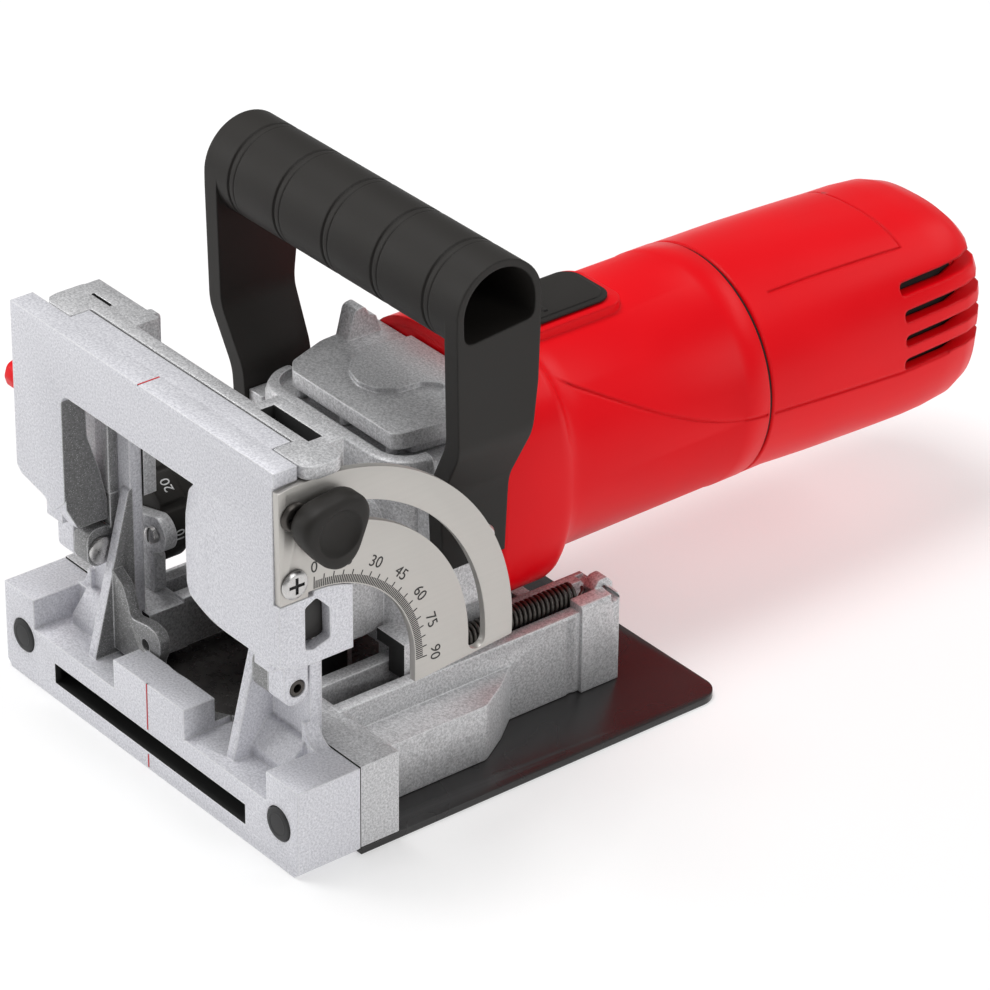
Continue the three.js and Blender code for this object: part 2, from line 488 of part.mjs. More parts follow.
const slideSwitch = () => {
  let b = add(prism('z', roundRect(-10.4, 10.4, 118, 158, 5.5, 5), 102.1, 103.1),
    prism('z', roundRect(-9, 9, 119.5, 156.5, 4.6, 5), 103, 103.7),
    box(-5, 5, 131, 139, 97.6, 102.5));
  for (let i = 0; i < 5; i++) b = add(b, box(-7.5, 7.5, 122 + 3 * i, 123.4 + 3 * i, 103.6, 104.4));
  return b;
};
const stopRod = () => add(cyl('y', 2.4, 61.6, 86, -52, 54.8, 16), cyl('y', 4.2, 84.6, 88, -52, 54.8, 6));
const lockButton = () => add(cyl('x', 5, -43.5, -36.5, LOCK.y, LOCK.z, 24),
  cyl('x', 3, -37, -33, LOCK.y, LOCK.z, 16));

// rotating parts
const armatureShaft = () => cyl('y', 4, 62.4, 281, 0, MOTOR_Z, 24);
const ringOn = (r, y0, y1, ri = 4.3, seg = 24) => tube('y', r, ri, y0, y1, 0, MOTOR_Z, seg);
function pinion() {
  let b = cyl('y', 5.9, 66.6, 71.4, 0, MOTOR_Z, 28);
  for (let i = 0; i < TEETH.pinion; i++) {
    const a = rad(((i + 0.5) * 360) / TEETH.pinion);
    const u = [Math.sin(a), -Math.cos(a)], w = [Math.cos(a), Math.sin(a)];
    const p = (rr, t) => [rr * u[0] + t * w[0], MOTOR_Z + rr * u[1] + t * w[1]];
    b = add(b, prism('y', [p(5.2, -0.55), p(7.2, -0.3), p(7.2, 0.3), p(5.2, 0.55)], 66.6, 71.4));
  }
  return cut(b, cyl('y', 4.3, 60, 80, 0, MOTOR_Z, 24));
}
function crownGear() {
  let b = add(cyl('z', 19.4, 50, 54.4, 0, 53, 28), cyl('z', 18.6, 54.3, 56.2, 0, 53, 28, 19.4));
  b = cut(b, cyl('z', 12.2, 55, 60, 0, 53, 24));
  for (let i = 0; i < TEETH.crown; i++) {
    const a = rad(90 + (i * 360) / TEETH.crown);
    const u = [Math.cos(a), Math.sin(a)], w = [-Math.sin(a), Math.cos(a)];
    const p = (rr, t) => [rr * u[0] + t * w[0], 53 + rr * u[1] + t * w[1]];
    b = add(b, prism('z', [p(12.6, -0.3), p(18.6, -0.35), p(18.6, 0.35), p(12.6, 0.3)], 55.6, 57.9));
  }
  return cut(b, cyl('z', 5.3, 45, 60, 0, 53, 24));
}
function fan() {
  let b = add(tube('y', 30.5, 4.3, 110.4, 112, 0, MOTOR_Z, 28), tube('y', 9, 4.3, 111, 121, 0, MOTOR_Z, 16));
  for (let i = 0; i < 9; i++) {
    const a = rad(40 * i), u = [Math.cos(a), Math.sin(a)], w = [-Math.sin(a), Math.cos(a)];
    const p = (rr, t) => [rr * u[0] + t * w[0], MOTOR_Z + rr * u[1] + t * w[1]];
    b = add(b, prism('y', [p(8, -1), p(30, 3), p(30, 4.6), p(8, 1)], 111.5, 120));
  }
  return b;
}
function rotorCore() {
  let b = ringOn(21.8, 132, 172);
  for (let i = 0; i < 12; i++) {
    b = cut(b, turnedBox(-1.2, 1.2, 130, 174, MOTOR_Z + 18.6, MOTOR_Z + 30, 'y', 30 * i, [0, 0, MOTOR_Z]));
  }
  return b;
}
const commutator = () => ringOn(11.4, 184, 198, 4.3, 20);
function stator() {
  return cut(tube('y', 32.6, 23.4, 129, 176, 0, MOTOR_Z, 32),
    ...[1, -1].map((s) => box(s * 30.5, s * 40, 128, 177, MOTOR_Z - 6, MOTOR_Z + 6)));
}
const brush = (s) => box(s * 11.8, s * 29, 187, 194.5, MOTOR_Z - 3.4, MOTOR_Z + 3.4);
function blade() {
  const pts = [], n = 6;
  for (let i = 0; i < n; i++) {
    const a0 = (360 / n) * i;
    for (const [da, r] of [[0, 50], [4, 50], [6, 46.5], [12, 44], [20, 45.5], [34, 46.5], [48, 47], [56, 47.6],
      [57.5, 46.4]]) {
      const t = rad(a0 + da);
      pts.push([r * Math.cos(t), BLADE.y + r * Math.sin(t)]);
    }
  }
  return cut(prism('z', pts, BLADE.z[0] + 0.6, BLADE.z[1] - 0.6), cyl('z', 5.4, 0, 20, 0, 53, 24));
}
const bladeTip = (i) => turnedBox(46.2, 50, BLADE.y - 1.1, BLADE.y + 1.1, ...BLADE.z, 'z', 60 * i + 1.4,
  [0, BLADE.y, 0]);
const spindle = () => add(cyl('z', 5, 2.9, 57, 0, 53, 20), cyl('z', 8, 36, 49.7, 0, 53, 20));
const innerFlange = () => tube('z', 13.5, 5.3, 10.5, 14, 0, 53, 24);
const flangeNut = () => cut(tube('z', 10.5, 5.3, 3.3, 7.3, 0, 53, 24),
  ...[0, 90, 180, 270].map((d) => cyl('z', 1.4, 2, 5, 8 * Math.cos(rad(d)), 53 + 8 * Math.sin(rad(d)), 10)));

// ---------------------------------------------------------------- assembly
const COLOURS = {
  cast: 0xb9b9b6, steel: 0xb4b0aa, black: 0x2b2927, plate: 0x1d1b1a, red: 0xd01317, rubber: 0x3b3a3a,
  copper: 0xb06a3a, brass: 0xb08d4a, iron: 0x6a6a6c,
};
const root = new THREE.Group();
root.name = 'biscuit_joiner';
function put(name, solid, colour) {
  const mesh = new THREE.Mesh(toGeometry(solid), new THREE.MeshStandardMaterial({ color: COLOURS[colour] }));
  mesh.name = name;
  mesh.position.y = ORIGIN_Y;
  root.add(mesh);
}

put('base_plate', basePlate(), 'plate');
put('front_block', frontBlock(), 'cast');
put('base_casting', baseCasting(), 'cast');
put('stop_bracket', stopBracket(), 'cast');
put('bracket_screw', bracketScrew(), 'iron');
for (const [side, s] of [['right', 1], ['left', -1]]) {
  put(`grip_pad_${side}`, gripPad(s), 'rubber');
  put(`plate_screw_${side}`, plateScrew(s), 'steel');
  put(`return_spring_${side}`, returnSpring(s), 'iron');
  put(`handle_screw_${side}`, handleScrew(s), 'steel');
  put(`carbon_brush_${side}`, brush(s), 'iron');
}
put('depth_turret', depthTurret(), 'black');
put('carriage', carriage(), 'cast');
put('tilt_bolt', tiltBolt(), 'steel');
put('tilt_pointer', tiltPointer(), 'black');
put('roll_pin_right', rollPin(), 'steel');
put('hinge_pin_left', hingePin(), 'steel');
put('clamp_stud', clampStud(), 'steel');
put('clamp_lever', clampLever(), 'red');
put('fence', fence(), 'cast');
put('quadrant_plate', quadrant(), 'steel');
put('quadrant_screw_upper', quadScrew(SCREW_Z[0]), 'steel');
put('quadrant_screw_lower', quadScrew(SCREW_Z[1]), 'steel');
put('tilt_knob', tiltKnob(), 'black');
put('gear_housing', gearHousing(), 'cast');
put('gear_cover', gearCover(), 'cast');
put('front_shell', frontShell(), 'red');
put('seam_ring', seamRing(), 'black');
put('rear_cap', rearCap(), 'red');
put('cable_gland', cableGland(), 'rubber');
put('handle', handle(), 'black');
put('slide_switch', slideSwitch(), 'black');
put('stop_rod', stopRod(), 'steel');
put('spindle_lock_button', lockButton(), 'black');
put('stator', stator(), 'iron');
put('armature_shaft', armatureShaft(), 'steel');
put('pinion', pinion(), 'steel');
put('front_bearing', ringOn(12, 88, 97), 'steel');
put('rear_bearing', ringOn(10.1, 264, 272), 'steel');
put('cooling_fan', fan(), 'black');
put('rotor_core', rotorCore(), 'iron');
put('commutator', commutator(), 'copper');
put('spindle', spindle(), 'steel');
put('spindle_bearing', tube('z', 11.3, 5.3, 25, 33, 0, 53, 28), 'steel');
put('crown_gear', crownGear(), 'steel');
put('blade', add(blade(), ...[0, 1, 2, 3, 4, 5].map(bladeTip)), 'steel');
put('inner_flange', innerFlange(), 'steel');
put('flange_nut', flangeNut(), 'iron');

export default root;
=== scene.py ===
import bpy
import bmesh
import json
import math
from mathutils import Matrix, Vector


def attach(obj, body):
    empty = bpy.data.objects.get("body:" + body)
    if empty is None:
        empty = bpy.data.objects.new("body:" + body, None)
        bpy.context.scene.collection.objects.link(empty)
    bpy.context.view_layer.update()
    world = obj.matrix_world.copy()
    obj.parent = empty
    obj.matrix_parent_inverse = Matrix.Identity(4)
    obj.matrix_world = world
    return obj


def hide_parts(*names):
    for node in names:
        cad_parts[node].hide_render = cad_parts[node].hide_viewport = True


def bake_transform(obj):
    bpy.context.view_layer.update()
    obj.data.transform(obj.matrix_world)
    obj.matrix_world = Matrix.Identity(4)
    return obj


# Looks of the biscuit joiner. Pieces are drawn in millimetres with the front face at y = 0 and
# the floor at z = 0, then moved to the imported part's frame, whose origin is 10 mm further back.
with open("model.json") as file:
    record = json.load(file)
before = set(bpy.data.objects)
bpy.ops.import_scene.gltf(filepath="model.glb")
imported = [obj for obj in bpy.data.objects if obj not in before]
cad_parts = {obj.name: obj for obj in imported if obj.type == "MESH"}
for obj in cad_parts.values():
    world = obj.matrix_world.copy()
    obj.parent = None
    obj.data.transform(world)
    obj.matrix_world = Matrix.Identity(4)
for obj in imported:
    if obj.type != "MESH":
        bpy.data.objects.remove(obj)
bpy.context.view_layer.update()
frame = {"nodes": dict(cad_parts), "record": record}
ORIGIN_Y = 10.0
MOTOR_Z = 64.3             # height of the motor axis
TOP_Z = 122.5              # top of the fence and its carriage
SPINDLE = (0, 53)          # blade spindle, x and y
HINGE = (11, 50)           # fence hinge, y and z
BOLT = (12.9, 105.6)       # tilt bolt, y and z
LOCK = (89, 52)            # spindle lock button, y and z
TURRET = (-52, 46)         # depth turret, x and z
TURRET_R = 15
STOP_ROD = (-52, 54.8)     # adjustable stop screw, x and z
BRACKET_EYE = (-37.2, 48)  # screw of the turret's bracket, x and z
SCREW_Y = 4.9              # the quadrant's two screws
SCREW_Z = (109.1, 88.4)
PLATE_X = 62.6             # outer face of the quadrant plate
TILT_SLOT_R = 55.6         # middle of the quadrant's slot, about the hinge
SCALE_ZERO = 0.8           # where the quadrant's scale begins, in degrees from upright
SPRING_X = 36.9            # plunge springs, either side
SPRING_Z = 29.8
CAP_SINK = 2.2             # the rear cap's centre line drops by this much
CAP_SINK_Y = (205, 260)    # between these two places
rad = math.radians


# ------------------------------------------------------------------ mesh kit
def temp(verts, faces):
    """Mesh object with its corners welded and its faces turned outwards."""
    me = bpy.data.meshes.new("t")
    me.from_pydata([tuple(v) for v in verts], [], faces)
    bm = bmesh.new()
    bm.from_mesh(me)
    bmesh.ops.remove_doubles(bm, verts=bm.verts, dist=1e-4)
    bmesh.ops.recalc_face_normals(bm, faces=bm.faces)
    bm.to_mesh(me)
    bm.free()
    ob = bpy.data.objects.new("t", me)
    bpy.context.scene.collection.objects.link(ob)
    return ob


def prism(axis, pts, a, b):
    """Polygon extruded along an axis; points are (x,y) for z, (x,z) for y, (y,z) for x."""
    n = len(pts)
    put = {"z": lambda p, h: (p[0], p[1], h), "y": lambda p, h: (p[0], h, p[1]),
           "x": lambda p, h: (h, p[0], p[1])}[axis]
    verts = [put(p, h) for h in (min(a, b), max(a, b)) for p in pts]
    faces = [list(range(n)), list(range(2 * n - 1, n - 1, -1))]
    faces += [[i, (i + 1) % n, n + (i + 1) % n, n + i] for i in range(n)]
    return temp(verts, faces)


def box(x0, x1, y0, y1, z0, z1):
    return prism("z", [(x0, y0), (x1, y0), (x1, y1), (x0, y1)], z0, z1)


def circle(p, q, r, n, e=2.0):
    """Closed round outline; an exponent e above 2 makes it squarer."""
    out = []
    for i in range(n):
        t = 2 * math.pi * i / n
        c, s = math.cos(t), math.sin(t)
        k = r / (abs(c) ** e + abs(s) ** e) ** (1 / e)
        out.append((p + k * c, q + k * s))
    return out


def cyl(axis, r, a, b, p, q, n=64, r2=None):
    """Round bar from a to b; r at a, r2 at b."""
    if r2 is None:
        return prism(axis, circle(p, q, r, n), a, b)
    return loft(axis, [(a, circle(p, q, r, n)), (b, circle(p, q, r2, n))])


def loft(axis, rings):
    """Skin through (position, outline) rings with equal point counts, closed at both ends."""
    put = {"z": lambda p, h: (p[0], p[1], h), "y": lambda p, h: (p[0], h, p[1]),
           "x": lambda p, h: (h, p[0], p[1])}[axis]
    n = len(rings[0][1])
    verts = [put(p, h) for h, pts in rings for p in pts]
    faces = [list(range(n)), list(range(len(verts) - 1, len(verts) - n - 1, -1))]
    for k in range(len(rings) - 1):
        for i in range(n):
            j = (i + 1) % n
            faces.append([k * n + i, k * n + j, (k + 1) * n + j, (k + 1) * n + i])
    return temp(verts, faces)


def turned(axis, p, q, profile, n=72):
    """Lathe body: profile is (position along the axis, radius), both ends get a cap."""
    return loft(axis, [(h, circle(p, q, r, n)) for h, r in profile])


def tube(axis, r, ri, a, b, p, q, n=64, c=0.25):
    """Bored bar with its outer edges chamfered by c."""
    outer = turned(axis, p, q, [(a, r - c), (a + c, r), (b - c, r), (b, r - c)], n)
    return cut(outer, cyl(axis, ri, a - 1, b + 1, p, q, n))


def arc(cy, cz, r, a0, a1, n):
    """Points about (cy, cz); angle 0 is up and positive turns towards the rear."""
    return [(cy + r * math.sin(rad(a0 + (a1 - a0) * i / n)), cz + r * math.cos(rad(a0 + (a1 - a0) * i / n)))
            for i in range(n + 1)]


def rrect(x0, x1, y0, y1, r, n=10):
    """Rectangle with round corners."""
    out = []
    corners = ((x1 - r, y1 - r, 0), (x0 + r, y1 - r, 90), (x0 + r, y0 + r, 180), (x1 - r, y0 + r, 270))
    for cx, cy, a in corners:
        out += [(cx + r * math.cos(rad(a + 90 * i / n)), cy + r * math.sin(rad(a + 90 * i / n)))
                for i in range(n + 1)]
    return out


def rounded(pts, r, n=5):
    """Polygon with its corners rounded; r is one radius or a list, one per corner."""
    out = []
    m = len(pts)
    for i, p in enumerate(pts):
        rr = r[i] if isinstance(r, (list, tuple)) else r
        p = Vector(p)
        a, b = Vector(pts[i - 1]), Vector(pts[(i + 1) % m])
        u, v = (a - p), (b - p)
        lu, lv = u.length, v.length
        if rr < 1e-3 or lu < 1e-6 or lv < 1e-6:
            out.append(tuple(p))
            continue
        u, v = u / lu, v / lv
        half = math.acos(max(-1, min(1, u.dot(v)))) / 2
        if abs(half - math.pi / 2) < 0.02:
            out.append(tuple(p))
            continue
        d = min(rr / math.tan(half), lu * 0.49, lv * 0.49)
        for k in range(n + 1):
            t = k / n
            out.append(tuple(p + u * d * (1 - t) ** 2 + v * d * t ** 2))
    return out


def combine(op, a, others):
    """Boolean of a with each of the others, which are used up."""
    for b in others:
        m = a.modifiers.new("b", "BOOLEAN")
        m.operation, m.object, m.solver = op, b, "MANIFOLD"
        dg = bpy.context.evaluated_depsgraph_get()
        me = bpy.data.meshes.new_from_object(a.evaluated_get(dg))
        a.modifiers.clear()
        if not me.polygons:
            m = a.modifiers.new("b", "BOOLEAN")
            m.operation, m.object, m.solver = op, b, "EXACT"
            dg = bpy.context.evaluated_depsgraph_get()
            me = bpy.data.meshes.new_from_object(a.evaluated_get(dg))
            a.modifiers.clear()
        a.data = me
        bpy.data.objects.remove(b)
    return a


def add(a, *others):
    return combine("UNION", a, others)


def cut(a, *others):
    return combine("DIFFERENCE", a, others)


def meet(a, *others):
    return combine("INTERSECT", a, others)


def joined(*obs):
    """Several closed shells kept in one piece."""
    bm = bmesh.new()
    for o in obs:
        bm.from_mesh(o.data)
        bpy.data.objects.remove(o)
    me = bpy.data.meshes.new("t")
    bm.to_mesh(me)
    bm.free()
    ob = bpy.data.objects.new("t", me)
    bpy.context.scene.collection.objects.link(ob)
    return ob


def place(ob, name, mat, body, nodes=(), bevel=0.0, angle=30, segs=2, smooth=35):
    """Names a piece, brings it to the part's frame and gives it its body and material."""
    me = ob.data
    me.transform(Matrix.Scale(0.001, 4) @ Matrix.Translation((0, -ORIGIN_Y, 0)))
    ob.name = me.name = name
    me.materials.clear()
    me.materials.append(mat)
    for p in me.polygons:
        p.material_index = 0
    bm = bmesh.new()
    bm.from_mesh(me)
    bmesh.ops.remove_doubles(bm, verts=bm.verts, dist=2e-6)
    bmesh.ops.dissolve_degenerate(bm, edges=bm.edges, dist=2e-6)
    bmesh.ops.dissolve_limit(bm, angle_limit=rad(0.6), verts=bm.verts, edges=bm.edges)
    bm.to_mesh(me)
    bm.free()
    if bevel:
        m = ob.modifiers.new("edge", "BEVEL")
        m.width, m.segments, m.limit_method, m.angle_limit = bevel / 1000, segs, "ANGLE", rad(angle)
        m.use_clamp_overlap, m.miter_outer = True, "MITER_ARC"
        dg = bpy.context.evaluated_depsgraph_get()
        done = bpy.data.meshes.new_from_object(ob.evaluated_get(dg))
        ob.modifiers.clear()
        ob.data = done
        done.name = name
    ob.data.shade_smooth()
    ob.data.set_sharp_from_angle(angle=rad(smooth))
    if nodes:
        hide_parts(*nodes)
    if body:
        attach(ob, body)
    return ob


def repaint(ob, mat, test):
    """Gives the faces that pass the test a second material; the test is in drawing millimetres."""
    ob.data.materials.append(mat)
    for p in ob.data.polygons:
        c = p.center * 1000
        if test(c.x, c.y + ORIGIN_Y, c.z, p.normal):
            p.material_index = len(ob.data.materials) - 1


def sweep(points, wire, k=8):
    """Round bar along a list of points."""
    pts = [Vector(p) for p in points]
    verts, faces = [], []
    for i, p in enumerate(pts):
        tan = (pts[min(i + 1, len(pts) - 1)] - pts[max(i - 1, 0)]).normalized()
        a = tan.cross(Vector((1, 0, 0)))
        if a.length < 0.2:
            a = tan.cross(Vector((0, 0, 1)))
        a.normalize()
        b = tan.cross(a).normalized()
        for j in range(k):
            t = 2 * math.pi * j / k
            verts.append(p + a * wire * math.cos(t) + b * wire * math.sin(t))
    for i in range(len(pts) - 1):
        for j in range(k):
            q = (j + 1) % k
            faces.append([i * k + j, i * k + q, (i + 1) * k + q, (i + 1) * k + j])
    faces += [list(range(k)), list(range(len(verts) - 1, len(verts) - k - 1, -1))]
    return temp(verts, faces)


# ------------------------------------------------------------------ materials
def material(name, slot):
    """New node material: the material, its tree, its shader and the object coordinates."""
    m = bpy.data.materials.new(name)
    m.use_nodes = True
    m["slot"] = slot
    t = m.node_tree
    bsdf = t.nodes["Principled BSDF"]
    coord = t.nodes.new("ShaderNodeTexCoord")
    return m, t, bsdf, coord.outputs["Object"]


def node(t, kind, **values):
    n = t.nodes.new("ShaderNode" + kind)
    for k, v in values.items():
        if hasattr(n, k):
            setattr(n, k, v)
        else:
            n.inputs[k].default_value = v
    return n


def noise(t, coord, scale, detail=3.0, rough=0.55, stretch=None):
    n = node(t, "TexNoise", Scale=scale, Detail=detail, Roughness=rough)
    src = coord
    if stretch:
        mp = node(t, "Mapping", Scale=stretch)
        t.links.new(coord, mp.inputs["Vector"])
        src = mp.outputs[0]
    t.links.new(src, n.inputs["Vector"])
    return n.outputs["Fac"]


def ramp(t, fac, stops):
    r = t.nodes.new("ShaderNodeValToRGB")
    e = r.color_ramp.elements
    while len(e) < len(stops):
        e.new(0.5)
    for el, (pos, col) in zip(e, stops):
        el.position = pos
        el.color = (*col, 1) if len(col) == 3 else col
    t.links.new(fac, r.inputs["Fac"])
    return r.outputs["Color"]


def remap(t, fac, lo, hi, a=0.3, b=0.7):
    m = node(t, "MapRange")
    for i, v in zip(("From Min", "From Max", "To Min", "To Max"), (a, b, lo, hi)):
        m.inputs[i].default_value = v
    t.links.new(fac, m.inputs["Value"])
    return m.outputs["Result"]


def edges(t, radius, samples=4):
    """0 on flats, towards 1 on outer and inner edges."""
    bev = node(t, "Bevel", samples=samples, Radius=radius)
    geo = t.nodes.new("ShaderNodeNewGeometry")
    dot = node(t, "VectorMath", operation="DOT_PRODUCT")
    t.links.new(bev.outputs[0], dot.inputs[0])
    t.links.new(geo.outputs["Normal"], dot.inputs[1])
    return remap(t, dot.outputs["Value"], 1.0, 0.0, 0.80, 0.995), bev.outputs[0]


def bump(t, bsdf, fac, strength, distance, normal=None):
    b = node(t, "Bump", Strength=strength, Distance=distance)
    t.links.new(fac, b.inputs["Height"])
    if normal is not None:
        t.links.new(normal, b.inputs["Normal"])
    t.links.new(b.outputs[0], bsdf.inputs["Normal"])


def mixed(t, fac, a, b, blend="MIX"):
    m = t.nodes.new("ShaderNodeMix")
    m.data_type, m.blend_type = "RGBA", blend
    t.links.new(fac, m.inputs[0])
    for sock, v in ((m.inputs[6], a), (m.inputs[7], b)):
        if isinstance(v, tuple):
            sock.default_value = (*v, 1)
        else:
            t.links.new(v, sock)
    return m.outputs[2]


def cast_metal(name, slot, dark, light, radius=0.0007, rough=(0.34, 0.5), metal=0.75):
    """Tumbled die casting: speckled, with bright flecks and worn edges."""
    m, t, bsdf, co = material(name, slot)
    fine = noise(t, co, 1500, 4, 0.7)
    broad = noise(t, co, 38, 3)
    spark = node(t, "TexVoronoi", Scale=1900.0)
    t.links.new(co, spark.inputs["Vector"])
    col = ramp(t, fine, [(0.36, dark), (0.64, light)])
    flecks = remap(t, spark.outputs["Distance"], 0.0, 1.0, 0.24, 0.06)
    col = mixed(t, flecks, col, (0.95, 0.95, 0.97))
    wear, rounded_n = edges(t, radius)
    col = mixed(t, wear, col, (0.93, 0.93, 0.94))
    t.links.new(col, bsdf.inputs["Base Color"])
    t.links.new(remap(t, broad, *rough), bsdf.inputs["Roughness"])
    bsdf.inputs["Metallic"].default_value = metal
    bump(t, bsdf, fine, 0.34, 0.00022, rounded_n)
    return m


def plain_metal(name, slot, colour, rough=(0.22, 0.36), scale=600, stretch=(1, 1, 1), depth=0.08, metal=1.0,
                dark_by=0.82):
    """Bare metal with fine streaks, along the axis with the small stretch."""
    m, t, bsdf, co = material(name, slot)
    streak = noise(t, co, scale, 3, 0.6, stretch)
    dark = tuple(c * dark_by for c in colour)
    t.links.new(ramp(t, streak, [(0.3, dark), (0.7, colour)]), bsdf.inputs["Base Color"])
    t.links.new(remap(t, streak, *rough), bsdf.inputs["Roughness"])
    bsdf.inputs["Metallic"].default_value = metal
    bump(t, bsdf, streak, depth, 0.0001)
    return m


def plastic(name, slot, colour, rough, grain, depth, vary=0.12, radius=0.0005, specular=0.5):
    """Moulded plastic, rubber or paint with a fine grain and softened edges."""
    m, t, bsdf, co = material(name, slot)
    fine = noise(t, co, grain, 4, 0.6)
    broad = noise(t, co, 30, 2)
    dark = tuple(c * (1 - vary) for c in colour)
    light = tuple(min(1, c * (1 + vary)) for c in colour)
    t.links.new(ramp(t, broad, [(0.3, dark), (0.7, light)]), bsdf.inputs["Base Color"])
    t.links.new(remap(t, broad, rough[0], rough[1]), bsdf.inputs["Roughness"])
    bsdf.inputs["Specular IOR Level"].default_value = specular
    bev = node(t, "Bevel", samples=4, Radius=radius)
    bump(t, bsdf, fine, depth, 0.0001, bev.outputs[0])
    return m


CAST = cast_metal("cast_aluminium", "cast_alu", (0.40, 0.40, 0.41), (0.76, 0.76, 0.77), metal=0.4)
# Lighter, lavender-tinted copy of the cast aluminium for the fence and the front block. It stands for the
# light on their front faces: painted light.
FRONT_LIT_CAST = cast_metal("front_lit_casting", "cast_alu", (0.56, 0.56, 0.60), (0.84, 0.84, 0.88), metal=0.3,
                  rough=(0.45, 0.58))
PLATE = plastic("black_gloss_plate", "black_plate", (0.022, 0.021, 0.021), (0.22, 0.32), 400, 0.05)
PAINT = plastic("satin_black_paint", "black_paint", (0.02, 0.019, 0.018), (0.35, 0.5), 900, 0.15)
STEEL = plain_metal("turned_steel", "bright_steel", (0.62, 0.61, 0.6))
SPRING = plain_metal("spring_wire", "spring_steel", (0.09, 0.082, 0.075), rough=(0.28, 0.42), metal=0.8)
# Darker copy of the cast aluminium for faces in recesses and gaps: painted shade.
SHADE_GREY = cast_metal("shaded_casting", "cast_alu", (0.17, 0.17, 0.17), (0.30, 0.30, 0.30), metal=0.4)
# Near-black for the insides of the blade slot and chamber and for narrow gaps: painted shade.
SHADE_BLACK = plastic("painted_slot_shade", "cast_alu", (0.03, 0.03, 0.03), (0.55, 0.7), 900, 0.2, specular=0.2)
BRUSHED = plain_metal("brushed_plate", "brushed_plate", (0.56, 0.54, 0.51), rough=(0.40, 0.48), scale=900,
                      stretch=(1, 0.02, 1), depth=0.02, metal=0.8, dark_by=0.95)
BLADE = plain_metal("ground_blade", "blade_steel", (0.16, 0.15, 0.145), scale=300, metal=0.8)
IRON = plain_metal("laminated_iron", "laminated_iron", (0.16, 0.16, 0.17), rough=(0.45, 0.6), scale=900,
                   stretch=(0.02, 1, 0.02), depth=0.3)
COPPER = plain_metal("copper_segments", "copper", (0.72, 0.40, 0.24))
CARBON = plastic("carbon", "carbon", (0.03, 0.03, 0.03), (0.5, 0.7), 900, 0.2)
RUBBER = plastic("rubber", "rubber", (0.022, 0.022, 0.023), (0.55, 0.7), 1200, 0.3)
BLACK = plastic("black_plastic", "black_plastic", (0.019, 0.017, 0.015), (0.52, 0.62), 1600, 0.25,
                radius=0.0009, specular=0.28)
RED = plastic("red_plastic", "red_plastic", (0.80, 0.0006, 0.006), (0.34, 0.42), 1500, 0.05, vary=0.03,
              radius=0.0012, specular=0.16)
INK = plastic("etched_ink", "black_paint", (0.03, 0.028, 0.026), (0.5, 0.6), 900, 0.05)
WHITE = plastic("white_ink", "black_plastic", (0.8, 0.8, 0.8), (0.5, 0.6), 900, 0.05)
REDLINE = plastic("red_mark", "red_plastic", (0.55, 0.03, 0.04), (0.5, 0.6), 900, 0.05)

BY_SLOT = {"cast_alu": CAST, "black_plate": PLATE, "black_paint": PAINT, "bright_steel": STEEL,
           "spring_steel": SPRING, "brushed_plate": BRUSHED, "blade_steel": BLADE, "laminated_iron": IRON,
           "copper": COPPER, "carbon": CARBON, "rubber": RUBBER, "black_plastic": BLACK, "red_plastic": RED}
for part in frame["record"]["subparts"]:
    ob = frame["nodes"][part["node"]]
    ob.data.materials.clear()
    ob.data.materials.append(BY_SLOT[part["material_slot"]])
    ob.data.shade_smooth()
    ob.data.set_sharp_from_angle(angle=rad(32))


# ------------------------------------------------------------------ base
def base_plate():
    """Sole with rounded rear corners and two screw holes."""
    pts = [(-70, 21.1), (70, 21.1)]
    pts += [(63 + 7 * math.cos(rad(9 * i)), 144 + 7 * math.sin(rad(9 * i))) for i in range(11)]
    pts += [(-63 + 7 * math.cos(rad(90 + 9 * i)), 144 + 7 * math.sin(rad(90 + 9 * i))) for i in range(11)]
    b = prism("z", pts, 0, 2.1)
    for s in (1, -1):
        b = cut(b, cyl("z", 4.8, -0.2, 1.9, s * 62, 27.5, 40, 2.7), cyl("z", 2.6, 1, 4, s * 62, 27.5, 40))
    return b


place(base_plate(), "sole_plate", PLATE, "base", ["base_plate"], bevel=0.25)


